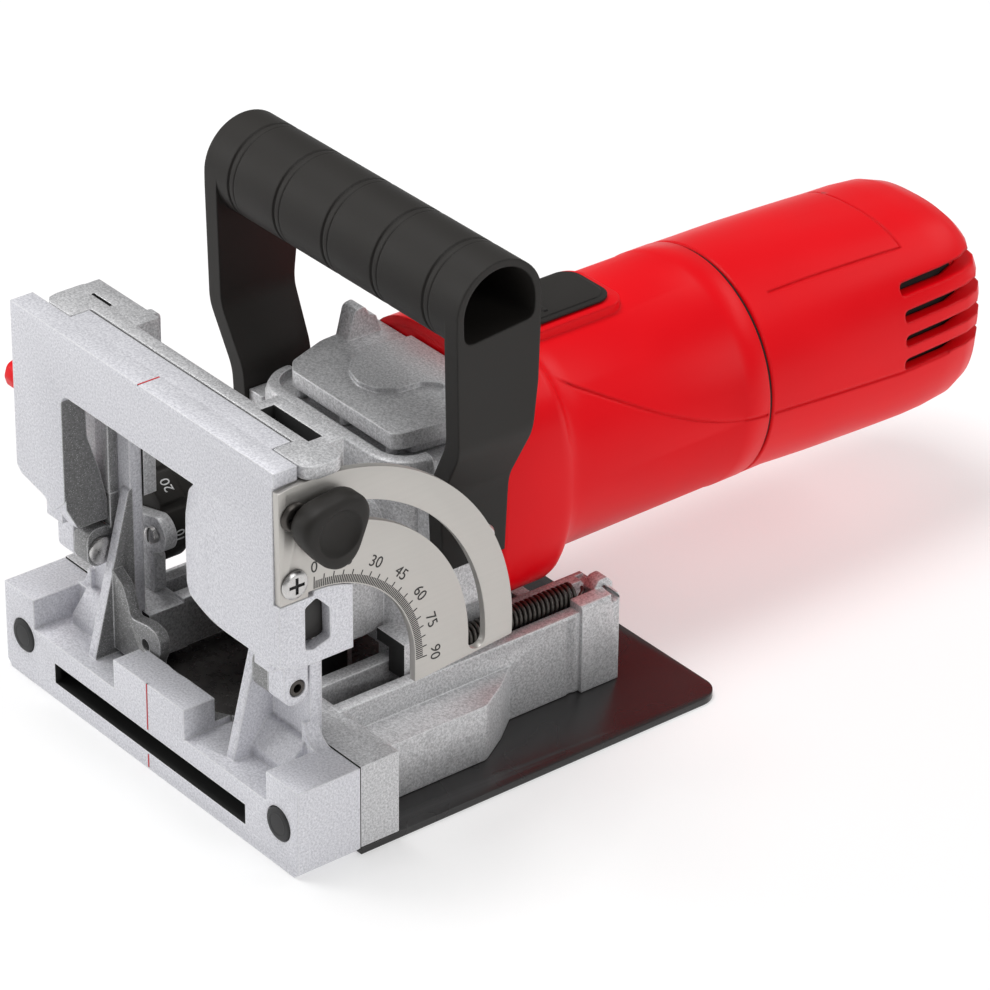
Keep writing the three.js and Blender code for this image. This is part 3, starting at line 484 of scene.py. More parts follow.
def front_block():
    """Front casting with the blade slot, the two ears, their ribs and an eyed lug."""
    c = 2.2
    b = prism("y", [(-70, c), (-70 + c, 0), (70 - c, 0), (70, c), (70, 28), (-70, 28)], 0, 20.8)
    b = cut(b, box(-55.5, -16, -1, 16, 18.5, 40), box(17.5, 55.5, -1, 16, 18.5, 40),
            box(-31.5, 31.5, 10.5, 30, 20.5, 40))
    parts = []
    for s in (1, -1):
        parts += [box(s * 31.5, s * 51.5, 18, 22, 16, 100),
                  prism("x", rounded([(4.5, 17), (4.5, 19.5), (17.2, 69), (18.6, 69.6), (18.6, 17)],
                                     [0, 2, 2, 0, 0]), s * 31.3, s * 34.7),
                  prism("y", [(s * 50, 27)] + [(s * (58.5 - 7 * math.sin(rad(7.5 * i))),
                                                34.8 - 7 * math.cos(rad(7.5 * i))) for i in range(13)]
                        + [(s * 50, 34.8)], 16.2, 20.8),
                  prism("x", rounded([(10.5, 17), (10.5, 22), (16, 29), (18.6, 29), (18.6, 17)], 2),
                        s * 34, s * 51.4)]
    b = add(b, *parts)
    b = cut(b, box(-90, 90, 20.8, 30, -5, 28.7),
               prism("z", rounded([(-45.6, -1), (45.6, -1), (45.6, 2), (50.8, 9), (50.8, 22), (-50.8, 22),
                                   (-50.8, 9), (-45.6, 2)], 0.8), 5.6, 12.1),
               cyl("z", 30, 5.6, 40, 0, 40.2, 96),
               *[cyl("y", 5.3, -1, 6.5, s * 61, 14, 48) for s in (1, -1)])
    lug = [(-31.6, 46), (-26.5, 43), (-24.2, 38), (-23, 34), (-14.6, 35.4), (-10.5, 34.8), (-9, 32.5),
           (-9, 28.6), (-11, 24.5), (-11, 20.3), (-31.6, 20.3)]
    b = add(b, prism("y", rounded(lug, [0, 3, 4, 4, 3, 3, 3, 3, 3, 0, 0]), 11, 14.5))
    return cut(b, cyl("y", 1.9, 9, 18, -16, 28.5, 32))


# The front block takes the lighter, lavender-tinted cast: painted light.
block = place(front_block(), "slotted_block", FRONT_LIT_CAST, "base", ["front_block"], bevel=0.35)
# The blade slot's inside faces are painted near-black: painted shade.
repaint(block, SHADE_BLACK, lambda x, y, z, n: abs(x) < 51 and 5.5 < z < 12.2 and y > 0.5)
# Faces between the two ribs, set back from the front, take the darker cast: painted shade.
repaint(block, SHADE_GREY, lambda x, y, z, n: abs(x) < 31.4 and z > 12.2 and 9.5 < y < 22)
for side, s in (("right", 1), ("left", -1)):
    pad = joined(turned("y", s * 61, 14, [(6.2, 5.0), (-0.1, 5.0), (-0.45, 4.7), (-0.6, 4.2)], 48),
                 tube("y", 3.6, 3.2, -0.66, -0.5, s * 61, 14, 48, 0.02))
    place(pad, f"grip_pad_{side}_rubber", RUBBER, "base", [f"grip_pad_{side}"])
marks = joined(box(-0.3, 0.3, -0.05, 0.6, 13, 28.0), box(-0.3, 0.3, -0.05, 0.6, 0.6, 4.9))
place(marks, "centre_mark", REDLINE, "base")


def base_casting():
    """Tray round the blade with side walls, rails and rear posts for the springs."""
    z0, y0 = 2.4, 21.1
    b = box(-70, 70, y0, 34, z0, 28.3)
    parts = []
    for s in (1, -1):
        parts += [box(s * 40.8, s * 44.8, 33, 131.5, z0, 28.4),
                  prism("y", [(s * 40.8, z0), (s * 46.4, z0), (s * 46.4, 29.8), (s * 45.6, 30.8),
                              (s * 40.8, 31)], 118, 131.5),
                  prism("z", rounded([(s * 44, 33), (s * 57, 33), (s * 57, 75), (s * 51, 85), (s * 44.8, 93),
                                      (s * 44, 93)], [0, 0, 3, 3, 3, 0]), z0, 20.3),
                  box(s * 28.5, s * 33, 33, 131.5, 13.6, 29.5),
                  box(s * 28.5, s * 33, 104, 131.5, z0, 20),
                  box(s * 32, s * 42, 126.5, 131.5, z0, 16),
                  prism("x", rounded([(126.5, 14), (131.5, 14), (133.5, 31), (131.5, 33.4), (128.5, 33.2),
                                      (126.5, 30.5)], [0, 0, 1, 1.5, 1.5, 1]), s * 36.2, s * 40.9)]
    parts.append(box(-44, 44, 127, 131.5, z0, 12))
    b = add(b, *parts)
    chamber = add(cyl("z", 51.6, 4.6, 13.3, *SPINDLE, 128), cyl("z", 51.6, 4.6, 13.3, 0, 39, 128),
                  box(-51.6, 51.6, 39, 53, 4.6, 13.3))
    cuts = [chamber, box(-28.4, 28.4, 10, 50, 1, 40)]
    for s in (1, -1):
        cuts += [cyl("x", 1.5, s * 30, s * 50, 130, 29.6, 24), cyl("z", 2.3, 1, 13, s * 62, 27.5, 24),
                 cyl("z", 3.2, -1, 27, s * 47.6, 115, 40),
                 box(s * 33.4, s * 40.4, 36, 126, 1, 13)]
    return cut(b, *cuts)


casting = place(base_casting(), "base_frame", CAST, "base", ["base_casting"], bevel=0.35)
# The blade chamber's faces are painted near-black: painted shade.
repaint(casting, SHADE_BLACK, lambda x, y, z, n: math.hypot(x, y - 46) < 59 and 4.5 < z < 13.5 and abs(x) < 52)


def stop_bracket():
    """Flat bracket that carries the depth turret."""
    outline = [(-56, 51.5), (-56, 42.5), (-45, 42.5), (-43.6, 36), (-43.6, 28.6), (-37.8, 28.6), (-37.6, 40)]
    outline = rounded(outline, [2, 2, 3, 4, 0, 0, 2])
    eye_x, eye_z = BRACKET_EYE
    outline += [(eye_x + 5.6 * math.cos(rad(-80 + 8.4 * i)), eye_z + 5.6 * math.sin(rad(-80 + 8.4 * i)))
                for i in range(21)]
    b = add(prism("y", outline, 29.6, 33.6), cyl("y", 2.4, 33, 46.2, *TURRET, 32))
    return cut(b, cyl("y", 1.6, 28, 35, *BRACKET_EYE, 24))


place(stop_bracket(), "stop_bracket_plate", CAST, "base", ["stop_bracket"], bevel=0.3)
head = add(turned("y", *BRACKET_EYE, [(29.3, 2.6), (28, 2.5), (27.6, 2.1), (27.4, 1.5)], 40),
           cyl("y", 1.3, 29, 33, *BRACKET_EYE, 24))
place(cut(head, box(-37.6, -36.8, 26, 28.2, 45, 51)), "bracket_screw_head", STEEL, "base", ["bracket_screw"])


def text(body_text, size, thick, frame_matrix):
    """Flat raised lettering, placed by a matrix."""
    cu = bpy.data.curves.new("txt", "FONT")
    cu.body, cu.size, cu.align_x, cu.align_y, cu.extrude = body_text, size, "CENTER", "CENTER", thick
    tmp = bpy.data.objects.new("txt", cu)
    bpy.context.scene.collection.objects.link(tmp)
    dg = bpy.context.evaluated_depsgraph_get()
    me = bpy.data.meshes.new_from_object(tmp.evaluated_get(dg))
    bpy.data.objects.remove(tmp)
    me.transform(frame_matrix)
    ob = bpy.data.objects.new("t", me)
    bpy.context.scene.collection.objects.link(ob)
    return ob


def facing(origin, right, up):
    """Matrix of lettering at a point, reading along right."""
    right, up = Vector(right).normalized(), Vector(up).normalized()
    n = right.cross(up)
    return Matrix(((right.x, up.x, n.x, origin[0]), (right.y, up.y, n.y, origin[1]),
                   (right.z, up.z, n.z, origin[2]), (0, 0, 0, 1)))


def on_turret(r, degrees):
    """Point on the turret's face at radius r, clockwise from the top."""
    return (TURRET[0] + r * math.sin(rad(degrees)), TURRET[1] + r * math.cos(rad(degrees)))


def depth_turret():
    """Grip wheel with six steps of falling height at its back."""
    body = tube("y", TURRET_R, 2.7, 34, 42.5, *TURRET, 96, 0.5)
    steps = []
    for i in range(6):
        outer = [on_turret(14, 60 * i + 5 * k) for k in range(13)]
        inner = [on_turret(5, 60 * i + 60 - 5 * k) for k in range(13)]
        steps.append(prism("y", outer + inner, 42, 46.8 - 0.7 * i))
    b = add(body, *steps)
    return cut(b, *[cyl("y", 1.5, 33, 43, *on_turret(15.4, 45 * i + 15), 24) for i in range(8)])


place(depth_turret(), "stop_turret", BLACK, "depth_stop", ["depth_turret"], bevel=0.25)
labels = []
for i, word in enumerate(("0", "10", "20", "S", "D", "M")):
    t = rad(53.6 + 60 * (i - 2))
    x, z = TURRET[0] + TURRET_R * math.cos(t), TURRET[1] + TURRET_R * math.sin(t)
    along = (-math.sin(t), 0, math.cos(t))
    labels.append(text(word, 4.4, 0.06, facing((x, 38.6, z), along, (0, -1, 0))))
place(joined(*labels), "turret_labels", WHITE, "depth_stop")


def coil(cx, cz, y0, y1, r, wire, turns, n=20, k=8):
    """Round wire wound along Y, with a short run at each end."""
    path = []
    for i in range(int(turns * n) + 1):
        t = 2 * math.pi * i / n
        path.append(Vector((cx + r * math.cos(t), y0 + (y1 - y0) * i / (turns * n), cz + r * math.sin(t))))
    verts, faces = [], []
    for i, p in enumerate(path):
        tan = (path[min(i + 1, len(path) - 1)] - path[max(i - 1, 0)]).normalized()
        out = Vector((p.x - cx, 0, p.z - cz)).normalized()
        side = tan.cross(out).normalized()
        for j in range(k):
            a = 2 * math.pi * j / k
            verts.append(p + out * wire * math.cos(a) + side * wire * math.sin(a))
    for i in range(len(path) - 1):
        for j in range(k):
            q = (j + 1) % k
            faces.append([i * k + j, i * k + q, (i + 1) * k + q, (i + 1) * k + j])
    faces += [list(range(k)), list(range(len(verts) - 1, len(verts) - k - 1, -1))]
    return temp(verts, faces)


def plunge_spring(s):
    """Close-wound spring with a bent hook at each end."""
    x, z = s * SPRING_X, SPRING_Z
    front = [(x + s * 3, 68, z), (x + s * 2, 65, z + 0.6), (x, 63.4, z + 1.6), (x, 62.7, z + 3.2)]
    rear = [(x + s * 3, 122, z), (x + s * 2, 124, z + 0.6), (x, 125.4, z + 0.4),
            (x - s * 0.2, 126.1, z - 0.8)]
    return joined(coil(x, z, 68, 122, 3.0, 0.62, 33), sweep(front, 0.6), sweep(rear, 0.6))


for side, s in (("right", 1), ("left", -1)):
    sp = place(plunge_spring(s), f"plunge_spring_{side}", SPRING, None, [f"return_spring_{side}"], smooth=60)
    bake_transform(sp)


# ------------------------------------------------------------------ carriage
def carriage():
    """Slide that raises the fence: two grooved uprights, a top bar and two hinge eyes."""
    b = box(-56, 50, 14.7, 18.9, 112, TOP_Z)
    parts = []
    for s in (1, -1):
        parts += [box(s * 31, s * 56, 22.3, 26.5, 66, TOP_Z), box(s * 51.8, s * 56, 14.7, 26.5, 66, TOP_Z),
                  box(s * 37, s * 56, 14.7, 17.7, 66, TOP_Z), box(s * 27.5, s * 56, 14.7, 26.5, 112, TOP_Z),
                  box(s * 37, s * 52, 14.7, 17.7, 57, 67)]
    lump = [(-56.4, 12.6), (-55.8, 9.6), (-53.5, 8), (-43, 8), (-43, 14.8), (-39.4, 15.2), (-39.4, 20.3),
            (-44.2, 23.2), (-53, 24), (-55.2, 23.4), (-56.4, 21)]
    parts += [prism("z", rounded(lump, [2, 2, 2, 1, 1, 1, 2, 2, 1, 1, 1]), 112, TOP_Z),
              box(50, 56, 8.2, 21.4, 112, TOP_Z),
              prism("z", rrect(50, 64.4, 8.2, 21.4, 4.5), 118.7, TOP_Z),
              prism("x", rounded([(18, 108), (18, 121.9), (29.5, 121.9), (29.5, 112), (26.5, 108)],
                                 [0, 0, 2, 2, 2]), -34, -31),
              prism("x", rrect(9.8, 21, 97, 113.5, 3.5), 55, 59.8)]
    for x0, x1 in ((41, 48), (-43.1, -36.7)):
        parts += [prism("x", rrect(6.5, 15.6, 45, 57, 3.6), x0, x1), box(x0, x1, 14.6, 17.7, 50, 66.5)]
    b = add(b, *parts)
    return cut(b, box(31, 52.4, 17.7, 22.3, 60, 130), box(-51.8, -31.2, 17.7, 22.3, 60, 119.3),
               box(-50, -41, 19.6, 20.6, 119, 130),
               cyl("x", 2.7, -60, 60, *HINGE, 40), cyl("x", 2.6, 53, 62, *BOLT, 40),
               cyl("x", 3.2, -58, -50, 20, 94, 40))


slide = place(carriage(), "height_carriage", CAST, "carriage", ["carriage"], bevel=0.35)
# Painted shade: the uprights' grooves and the face behind the fence's top bar are painted near-black, and
# the guides' walls in front of the posts take the darker cast.
repaint(slide, SHADE_BLACK,
        lambda x, y, z, n: 31 < abs(x) < 52.5 and 17.6 < y < 22.4 and z > 60.5 and abs(n.z) < 0.6)
repaint(slide, SHADE_GREY, lambda x, y, z, n: 36 < abs(x) < 52 and y < 18 and z < 112)
repaint(slide, SHADE_BLACK, lambda x, y, z, n: 14.4 < y < 15 and n.y < -0.9 and z > 112)


def bolt_thread(axis, r, a, b, p, q, pitch=0.8):
    """Threaded bar, as a row of rings."""
    prof = [(a, r - 0.35)]
    h = a + 0.3
    while h < b - pitch:
        prof += [(h, r - 0.35), (h + pitch * 0.5, r)]
        h += pitch
    prof.append((b, r - 0.35))
    return turned(axis, p, q, prof, 40)


place(bolt_thread("x", 2.3, 53.4, 68.6, *BOLT), "tilt_stud", STEEL, "carriage", ["tilt_bolt"])
place(prism("x", rounded([(24, 66.4), (24, 79), (16, 81.6), (8.4, 81.6), (8.4, 66.4)], 0.8), 56.3, 58.6),
      "angle_pointer", INK, "carriage", ["tilt_pointer"], bevel=0.25)
place(tube("x", 2.4, 1.3, 41.2, 55.3, *HINGE, 48, 0.2), "roll_pin", SPRING, "carriage", ["roll_pin_right"])
place(add(cyl("x", 2.4, -50.8, -36, *HINGE, 40),
          turned("x", *HINGE, [(-36.4, 4.2), (-35.6, 4.2), (-35.2, 3.4)], 48)),
      "hinge_pin", STEEL, "carriage", ["hinge_pin_left"])


def clamp_lever():
    """Small lever on the height clamp stud."""
    b = add(turned("x", 20, 94, [(-70, 5.6), (-69.3, 6.5), (-62.4, 6.5)], 56),
            prism("x", rounded([(20, 100.2), (9, 99.2), (3.6, 97.5), (2.6, 94), (3.6, 90.5), (9, 88.8),
                                (20, 87.8)], 2.5), -69.4, -63.4))
    return cut(b, cyl("x", 2.2, -66.4, -61, 20, 94, 32), cyl("x", 3.2, -63.6, -61, 20, 94, 32))


place(clamp_lever(), "clamp_lever_grip", RED, "height_clamp", ["clamp_lever"], bevel=0.6)


# ------------------------------------------------------------------ fence
def fence():
    """Angle fence: face plate, top bar, two hinge legs and the pointer window."""
    b = box(-60.8, 56, 0, 7.6, 103.2, TOP_Z)
    corner = [(-37.7, 103.4)] + [(-33.7 - 3.8 * math.cos(rad(9 * i)), 99.5 + 3.8 * math.sin(rad(9 * i)))
                                 for i in range(11)] + [(-33.7, 103.4)]
    parts = [box(50, 60.8, 0, 7.6, 118.2, TOP_Z), box(-42.5, 49.5, 7, 13.9, 112, TOP_Z),
             prism("y", corner, 0, 5),
             prism("y", rounded([(-60.8, 105), (-60.8, 70.6), (-58.6, 68.6), (-47, 66.2), (-44, 62.5),
                                 (-37.5, 68.6), (-37.5, 105)], [0, 1.5, 1.5, 3, 2, 2, 0]), 0, 5),
             prism("x", rounded([(0.5, 105), (7.8, 105), (8.2, 87), (12, 75), (14.2, 65), (14.2, 58.6),
                                 (4.2, 58.6), (0.5, 66)], [0, 0, 8, 8, 4, 1, 1, 3]), -43.2, -37.5),
             prism("x", rrect(6.5, 14.4, 45.2, 66, 3.2), -51, -43.5), box(-51, -43.5, 3, 14.2, 58, 72)]
    plan = [(13.6, 6.4), (13.6, 5.2)]
    for i in range(13):
        t = i / 12
        plan.append((14 + 25 * t, 4.6 * (1 - t) ** 1.7))
    plan += [(60, 0), (60, 6)]
    face = rounded([(26, 105), (24, 103.4), (17.5, 97), (14.4, 88), (13.9, 80), (14.2, 66), (16.8, 63.6),
                    (60, 63.6), (60, 105)], [0, 2, 6, 8, 5, 2, 2, 0, 0])
    parts += [meet(prism("z", plan, 60, 105), prism("y", face, -1, 8)),
              box(50, 60, 0, 7.8, 82, 118.5), box(40, 62.6, 0, 4, 63.6, 82.4),
              prism("x", [(0, 67), (1.2, 65), (2.8, 63.4), (4.8, 62.2), (7, 61.6), (24.3, 61.6)]
                    + arc(*HINGE, 33.9, 23, 1, 14) + [(11.2, 82.5), (0, 82.5)], 59, 62.6),
              prism("x", rrect(6.5, 14.4, 45.2, 66, 3.2), 48.4, 55.4),
              box(48.4, 55.2, 2, 14.2, 58.4, 65.8), box(55, 59.6, 2, 14.2, 61.8, 65.8)]
    b = add(b, *parts)
    return cut(b, prism("x", rounded([(8.4, 66.6), (11, 65.8), (16.8, 67.6), (16.6, 77), (12.2, 81.6),
                                      (8.4, 79.6)], 1.2), 58, 64),
               cyl("x", 2.7, -60, 60, *HINGE, 40),
               *[cyl("x", 2.0, 53, 61, SCREW_Y, z, 24) for z in SCREW_Z])


# The fence takes the lighter, lavender-tinted cast: painted light.
board_stop = place(fence(), "tilting_fence", FRONT_LIT_CAST, "fence", ["fence"], bevel=0.4)
# Painted shade: the faces set back behind the face plate take the darker cast, and the back of the top bar
# facing the carriage is painted near-black.
repaint(board_stop, SHADE_GREY,
        lambda x, y, z, n: -43 < x < 44 and (y > 5.2 or abs(x + 37.5) < 0.2) and 58 < z < 103.5)
repaint(board_stop, SHADE_BLACK, lambda x, y, z, n: y > 13.7 and n.y > 0.9 and z > 112)
place(box(-0.3, 0.3, 0, 7.2, TOP_Z - 0.3, TOP_Z + 0.04), "fence_mark", REDLINE, "fence")


def quadrant():
    """Sector plate about the hinge with a slot for the tilt bolt."""
    pts = [(0.4, 82.9)] + arc(*HINGE, 68, -9.2, 94, 96) + [(45.3, 42.5)]
    pts += arc(*HINGE, 34.3, 88, -2.4, 64) + [(9.5, 82.9)]
    half = 2.95

    def end(deg, a0, a1):
        y, z = arc(*HINGE, TILT_SLOT_R, deg, deg, 1)[0]
        return arc(y, z, half, a0, a1, 12)
    slot = arc(*HINGE, TILT_SLOT_R + half, -1, 92, 80) + end(92, 102, 262)
    slot += arc(*HINGE, TILT_SLOT_R - half, 92, -1, 80)
    slot += end(-1, 189, 349)
    return cut(prism("x", pts, 60.3, PLATE_X), prism("x", slot, 59, 64),
               *[cyl("x", 2.4, 55, 64, SCREW_Y, z, 32) for z in SCREW_Z])


place(quadrant(), "angle_quadrant", BRUSHED, "fence", ["quadrant_plate"], bevel=0.2)
TICK_HALF = 0.17
ticks = []
for i in range(91):
    a = rad(SCALE_ZERO + i)
    r1 = 38.3 if i % 5 == 0 else 36.9
    u, w = Vector((0, math.sin(a), math.cos(a))), Vector((0, math.cos(a), -math.sin(a)))
    c = Vector((PLATE_X, *HINGE))
    w = w * TICK_HALF
    q = [c + u * 34.6 + w, c + u * r1 + w, c + u * r1 - w, c + u * 34.6 - w]
    up = [p + Vector((0.04, 0, 0)) for p in q]
    down = [p - Vector((0.05, 0, 0)) for p in q]
    ticks.append(temp(up + down, [[0, 1, 2, 3], [7, 6, 5, 4], [0, 4, 5, 1], [1, 5, 6, 2], [2, 6, 7, 3],
                                  [3, 7, 4, 0]]))
for value in (0, 15, 30, 45, 60, 75, 90):
    a = rad(SCALE_ZERO + value)
    up = Vector((0, math.sin(a), math.cos(a)))
    right = Vector((0, math.cos(a), -math.sin(a)))
    centre = Vector((PLATE_X + 0.02, *HINGE)) + up * 41.1
    ticks.append(text(str(value), 4.7, 0.04, facing(centre, right, up)))
place(joined(*ticks), "quadrant_scale", INK, "fence")


def pan_screw(z):
    """Cross-head screw of the quadrant plate."""
    y = SCREW_Y
    head = turned("x", y, z, [(62.9, 4.25), (63.3, 4.2), (63.8, 3.7), (64, 3.0)], 48)
    head = cut(head, box(63.4, 66, y - 0.5, y + 0.5, z - 2.5, z + 2.5),
               box(63.4, 66, y - 2.5, y + 2.5, z - 0.5, z + 0.5))
    return joined(turned("x", y, z, [(54, 1.7), (62.5, 1.7)], 32), head)


for which, z in zip(("upper", "lower"), SCREW_Z):
    # The upper screw, which lies in shadow, is given the dark spring-wire steel: painted shade.
    metal = SPRING if which == "upper" else STEEL
    head = place(pan_screw(z), f"quadrant_screw_head_{which}", metal, "fence", [f"quadrant_screw_{which}"])
    # The cross recesses of the heads are painted near-black: painted shade.
    repaint(head, SHADE_BLACK, lambda x, y, z, n: 63.3 < x < 63.7 and abs(n.x) < 0.3 or 63.35 < x < 63.45)


def tilt_knob():
    """Three-lobed knob with a finger dish."""
    def outline(k):
        out = []
        for i in range(96):
            t = 2 * math.pi * i / 96
            r = (10.4 + 1.15 * math.cos(3 * (t - rad(52)))) * k
            out.append((BOLT[0] + r * math.sin(t), BOLT[1] + r * math.cos(t)))
        return out
    b = loft("x", [(64.9, outline(0.92)), (65.5, outline(0.975)), (66.6, outline(1)), (70.6, outline(1)),
                   (71.8, outline(0.965)), (72.4, outline(0.90)), (72.6, outline(0.83))])
    b = add(b, cyl("x", 3.7, 63, 66, *BOLT, 40))
    dish = turned("x", *BOLT, [(74, 7.4), (72.6, 7.0), (71.6, 6.2), (70.9, 4.6), (70.6, 2.4)], 64)
    return cut(b, dish, cyl("x", 2.6, 60, 69, *BOLT, 32))


place(tilt_knob(), "tilt_knob_grip", BLACK, "tilt_knob", ["tilt_knob"])


# ------------------------------------------------------------------ motor unit
def ring(y, r, e=2.0, n=112, cz=MOTOR_Z):
    """Ring about the motor axis at y, for a loft."""
    return (y, circle(0, cz, r, n, e))


def gear_housing():
    """Gear case with a round nose about the spindle."""
    b = turned("z", *SPINDLE, [(14.7, 14.5), (36, 14.5), (36.2, 27.2), (37, 28), (70, 28), (73, 26.6),
                            (75.4, 23.6), (76.5, 20)], 112)
    upper = prism("y", rounded([(-33, 36), (33, 36), (37, 40), (37, 78), (34, 83.5), (28, 86), (-31.5, 86),
                                (-35.6, 83), (-37, 78), (-37, 40)], 3), 62, 104.7)
    ridge = loft("z", [(z, rrect(k - 35.5, 33 - k, 61.6 + k, 120, 13 - k, 16))
                       for z, k in ((84, 0), (87, 0.2), (88.2, 0.9), (88.8, 2.3))])
    ridge = cut(ridge, prism("z", rrect(-31.6, 29, 65.6, 120, 9, 16), 80, 90), box(-60, 60, 75, 130, 80, 95))
    parts = [meet(upper, prism("z", rrect(-37, 37, 62, 120, 14, 16), 20, 100)),
             box(-33, 33, 62, 104.7, 30, 37),
             ridge]
    for s in (1, -1):
        parts += [box(s * 24.6, s * 28.2, 62, 104.7, 20, 31), box(s * 36, s * 42, 67, 89, 61, 80),
                  box(s * 33.4, s * 40.4, 58.8, 62.3, 26.4, 37.8), box(s * 28, s * 40.4, 58.8, 67, 34, 37.8)]
    parts.append(prism("x", rounded([(74, 49.5), (82, 49.5), (82, 59.6), (74, 59.6)], 2), -58, -36))
    b = add(b, *parts)
    skirt = cut(loft("y", [ring(95.6, 46, 3.4), ring(106, 46, 3.4)]),
                loft("y", [ring(90, 34.6, 3.4), ring(110, 34.6, 3.4)]), box(-60, 60, 90, 110, 84.6, 120))
    return cut(b, skirt, cyl("y", 12.3, 53, 106, 0, MOTOR_Z, 48), cyl("z", 20.6, 47, 75, *SPINDLE, 48),
               cyl("z", 8.6, 14, 50, *SPINDLE, 40), cyl("z", 11.6, 14, 33.4, *SPINDLE, 48),
               cyl("y", 2.7, 70, 84, *STOP_ROD, 32), cyl("x", 5.3, -40, -29, *LOCK, 48),
               *[cyl("x", 2.1, s * 38, s * 44, 78, 70, 24) for s in (1, -1)])


case = place(gear_housing(), "gear_case", CAST, "motor_unit", ["gear_housing"], bevel=0.7, segs=3)
# The case's low front nose, under the fence, is painted near-black: painted shade.
repaint(case, SHADE_BLACK, lambda x, y, z, n: z < 36.5 and y < 60)


def gear_cover():
    """Lid of the gear case with its raised web and fin."""
    plan = [(-21.4, 67), (24.2, 66.8), (25.8, 69.4), (28, 84), (31, 104.4), (-31.5, 104.4), (-30.6, 84),
            (-25.8, 70.4)]
    crescent = [(-15, 104.2), (-16.5, 92), (-15, 83), (-10, 78), (-3, 76), (3, 77.5), (7, 82), (8, 90),
                (12, 94), (28, 94), (30.6, 104.2)]
    fin = [(89.5, 94.5), (92, 104), (95.5, 104.6), (97, 101.5), (99.5, 100.5), (101.5, 94.5)]
    b = prism("z", rounded(plan, [4, 2, 2, 8, 0, 0, 12, 5], 8), 90, 95)
    parts = [prism("z", rounded(crescent, [0, 6, 6, 4, 5, 4, 4, 3, 4, 3, 0], 6), 94.5, 96.6),
             prism("z", rounded([(-24, 74), (24, 74), (28, 104.4), (-28, 104.4)], 2), 86.3, 90.5),
             prism("x", rounded(fin, [0, 2, 2, 1, 2, 0]), -31, -25.2)]
    parts += [turned("z", x, 70.2, [(86.3, 1.7), (91, 1.7)], 24) for x in (-21, -1, 20)]
    return add(b, *parts)


place(gear_cover(), "gear_lid", CAST, "motor_unit", ["gear_cover"], bevel=1.1, segs=3)


def front_shell():
    """Round motor shell with a squarer flange that wraps the gear case, and a raised switch bed."""
    flange = [ring(y, r, e) for y, r, e in
              ((96, 36, 3.4), (96.3, 36.7, 3.4), (97, 37.2, 3.4), (98, 37.4, 3.4), (117, 37.4, 3.35),
               (119, 37.2, 3.2), (120.4, 37, 2.9), (121.4, 36.7, 2.6), (122.6, 36.4, 2.35),
               (125, 36.4, 2.14))]
    barrel = [ring(y, r) for y, r in
              ((130, 36.4), (150, 36.3), (170, 36.25), (186, 36.1), (186.4, 36.35), (195.6, 36.3),
               (196.1, 35.9))]
    outer = loft("y", flange + barrel)
    bed = loft("z", [(z, rrect(k - 12.8, 12.8 - k, 114.6 + k, 161.4 - k, r, 12))
                     for z, k, r in ((92, 0, 6.5), (101.2, 0.2, 6.4), (101.6, 0.8, 5.8))])
    inner = loft("y", [ring(108.5, 32, 2.4), ring(124, 33, 2.2), ring(140, 33.2), ring(199, 33.2)])
    skirt = loft("y", [ring(90, 35, 3.4), ring(104.9, 35, 3.4)])
    crease = []
    skin = 36.35
    for i in range(24):
        t = i / 23
        a = rad(-3 + 55 * (1 - t) ** 1.6)
        crease.append((skin * math.cos(a), 123 + 72 * t, MOTOR_Z + skin * math.sin(a)))
    mirrored = [(-x, y, z) for x, y, z in crease]
    return cut(add(outer, bed), inner, skirt, box(-60, 60, 90, 104.7, 84.2, 120),
               cyl("y", 12.3, 100, 110, 0, MOTOR_Z, 48), box(-7, 7, 124, 150, 90, 104),
               sweep(crease, 0.42), sweep(mirrored, 0.42))


place(front_shell(), "motor_shell_front", RED, "motor_unit", ["front_shell"], smooth=40)
seam = tube("y", 35.3, 33.4, 195.4, 197.6, 0, MOTOR_Z, 112, 0.2)
place(seam, "shell_seam", BLACK, "motor_unit", ["seam_ring"])


def cap_radius(y):
    stops = [(197, 35.9), (220, 35.4), (250, 34.2), (268, 33.4), (277, 32.6), (283, 30.6), (287, 27),
             (289, 21.5)]
    for (a, ra), (b, rb) in zip(stops, stops[1:]):
        if a <= y <= b:
            return ra + (rb - ra) * (y - a) / (b - a)
    return stops[-1][1]


def cap_shape(y):
    return min(2.6, 2.05 + 0.55 * max(0, y - 205) / 60)


def cap_centre(y):
    start, end = CAP_SINK_Y
    return MOTOR_Z - CAP_SINK * min(1, max(0, (y - start) / (end - start)))


def cap_ring(y, r, e):
    return ring(y, r, e, cz=cap_centre(y))


def cap_point(y, x=None, z=None, side=1):
    """Point on the cap's skin: given x it lies on top, given z it lies on one side."""
    r, e = cap_radius(y), cap_shape(y)
    if x is not None:
        return (x, y, cap_centre(y) + (r ** e - abs(x) ** e) ** (1 / e))
    return (side * (r ** e - abs(z - cap_centre(y)) ** e) ** (1 / e), y, z)


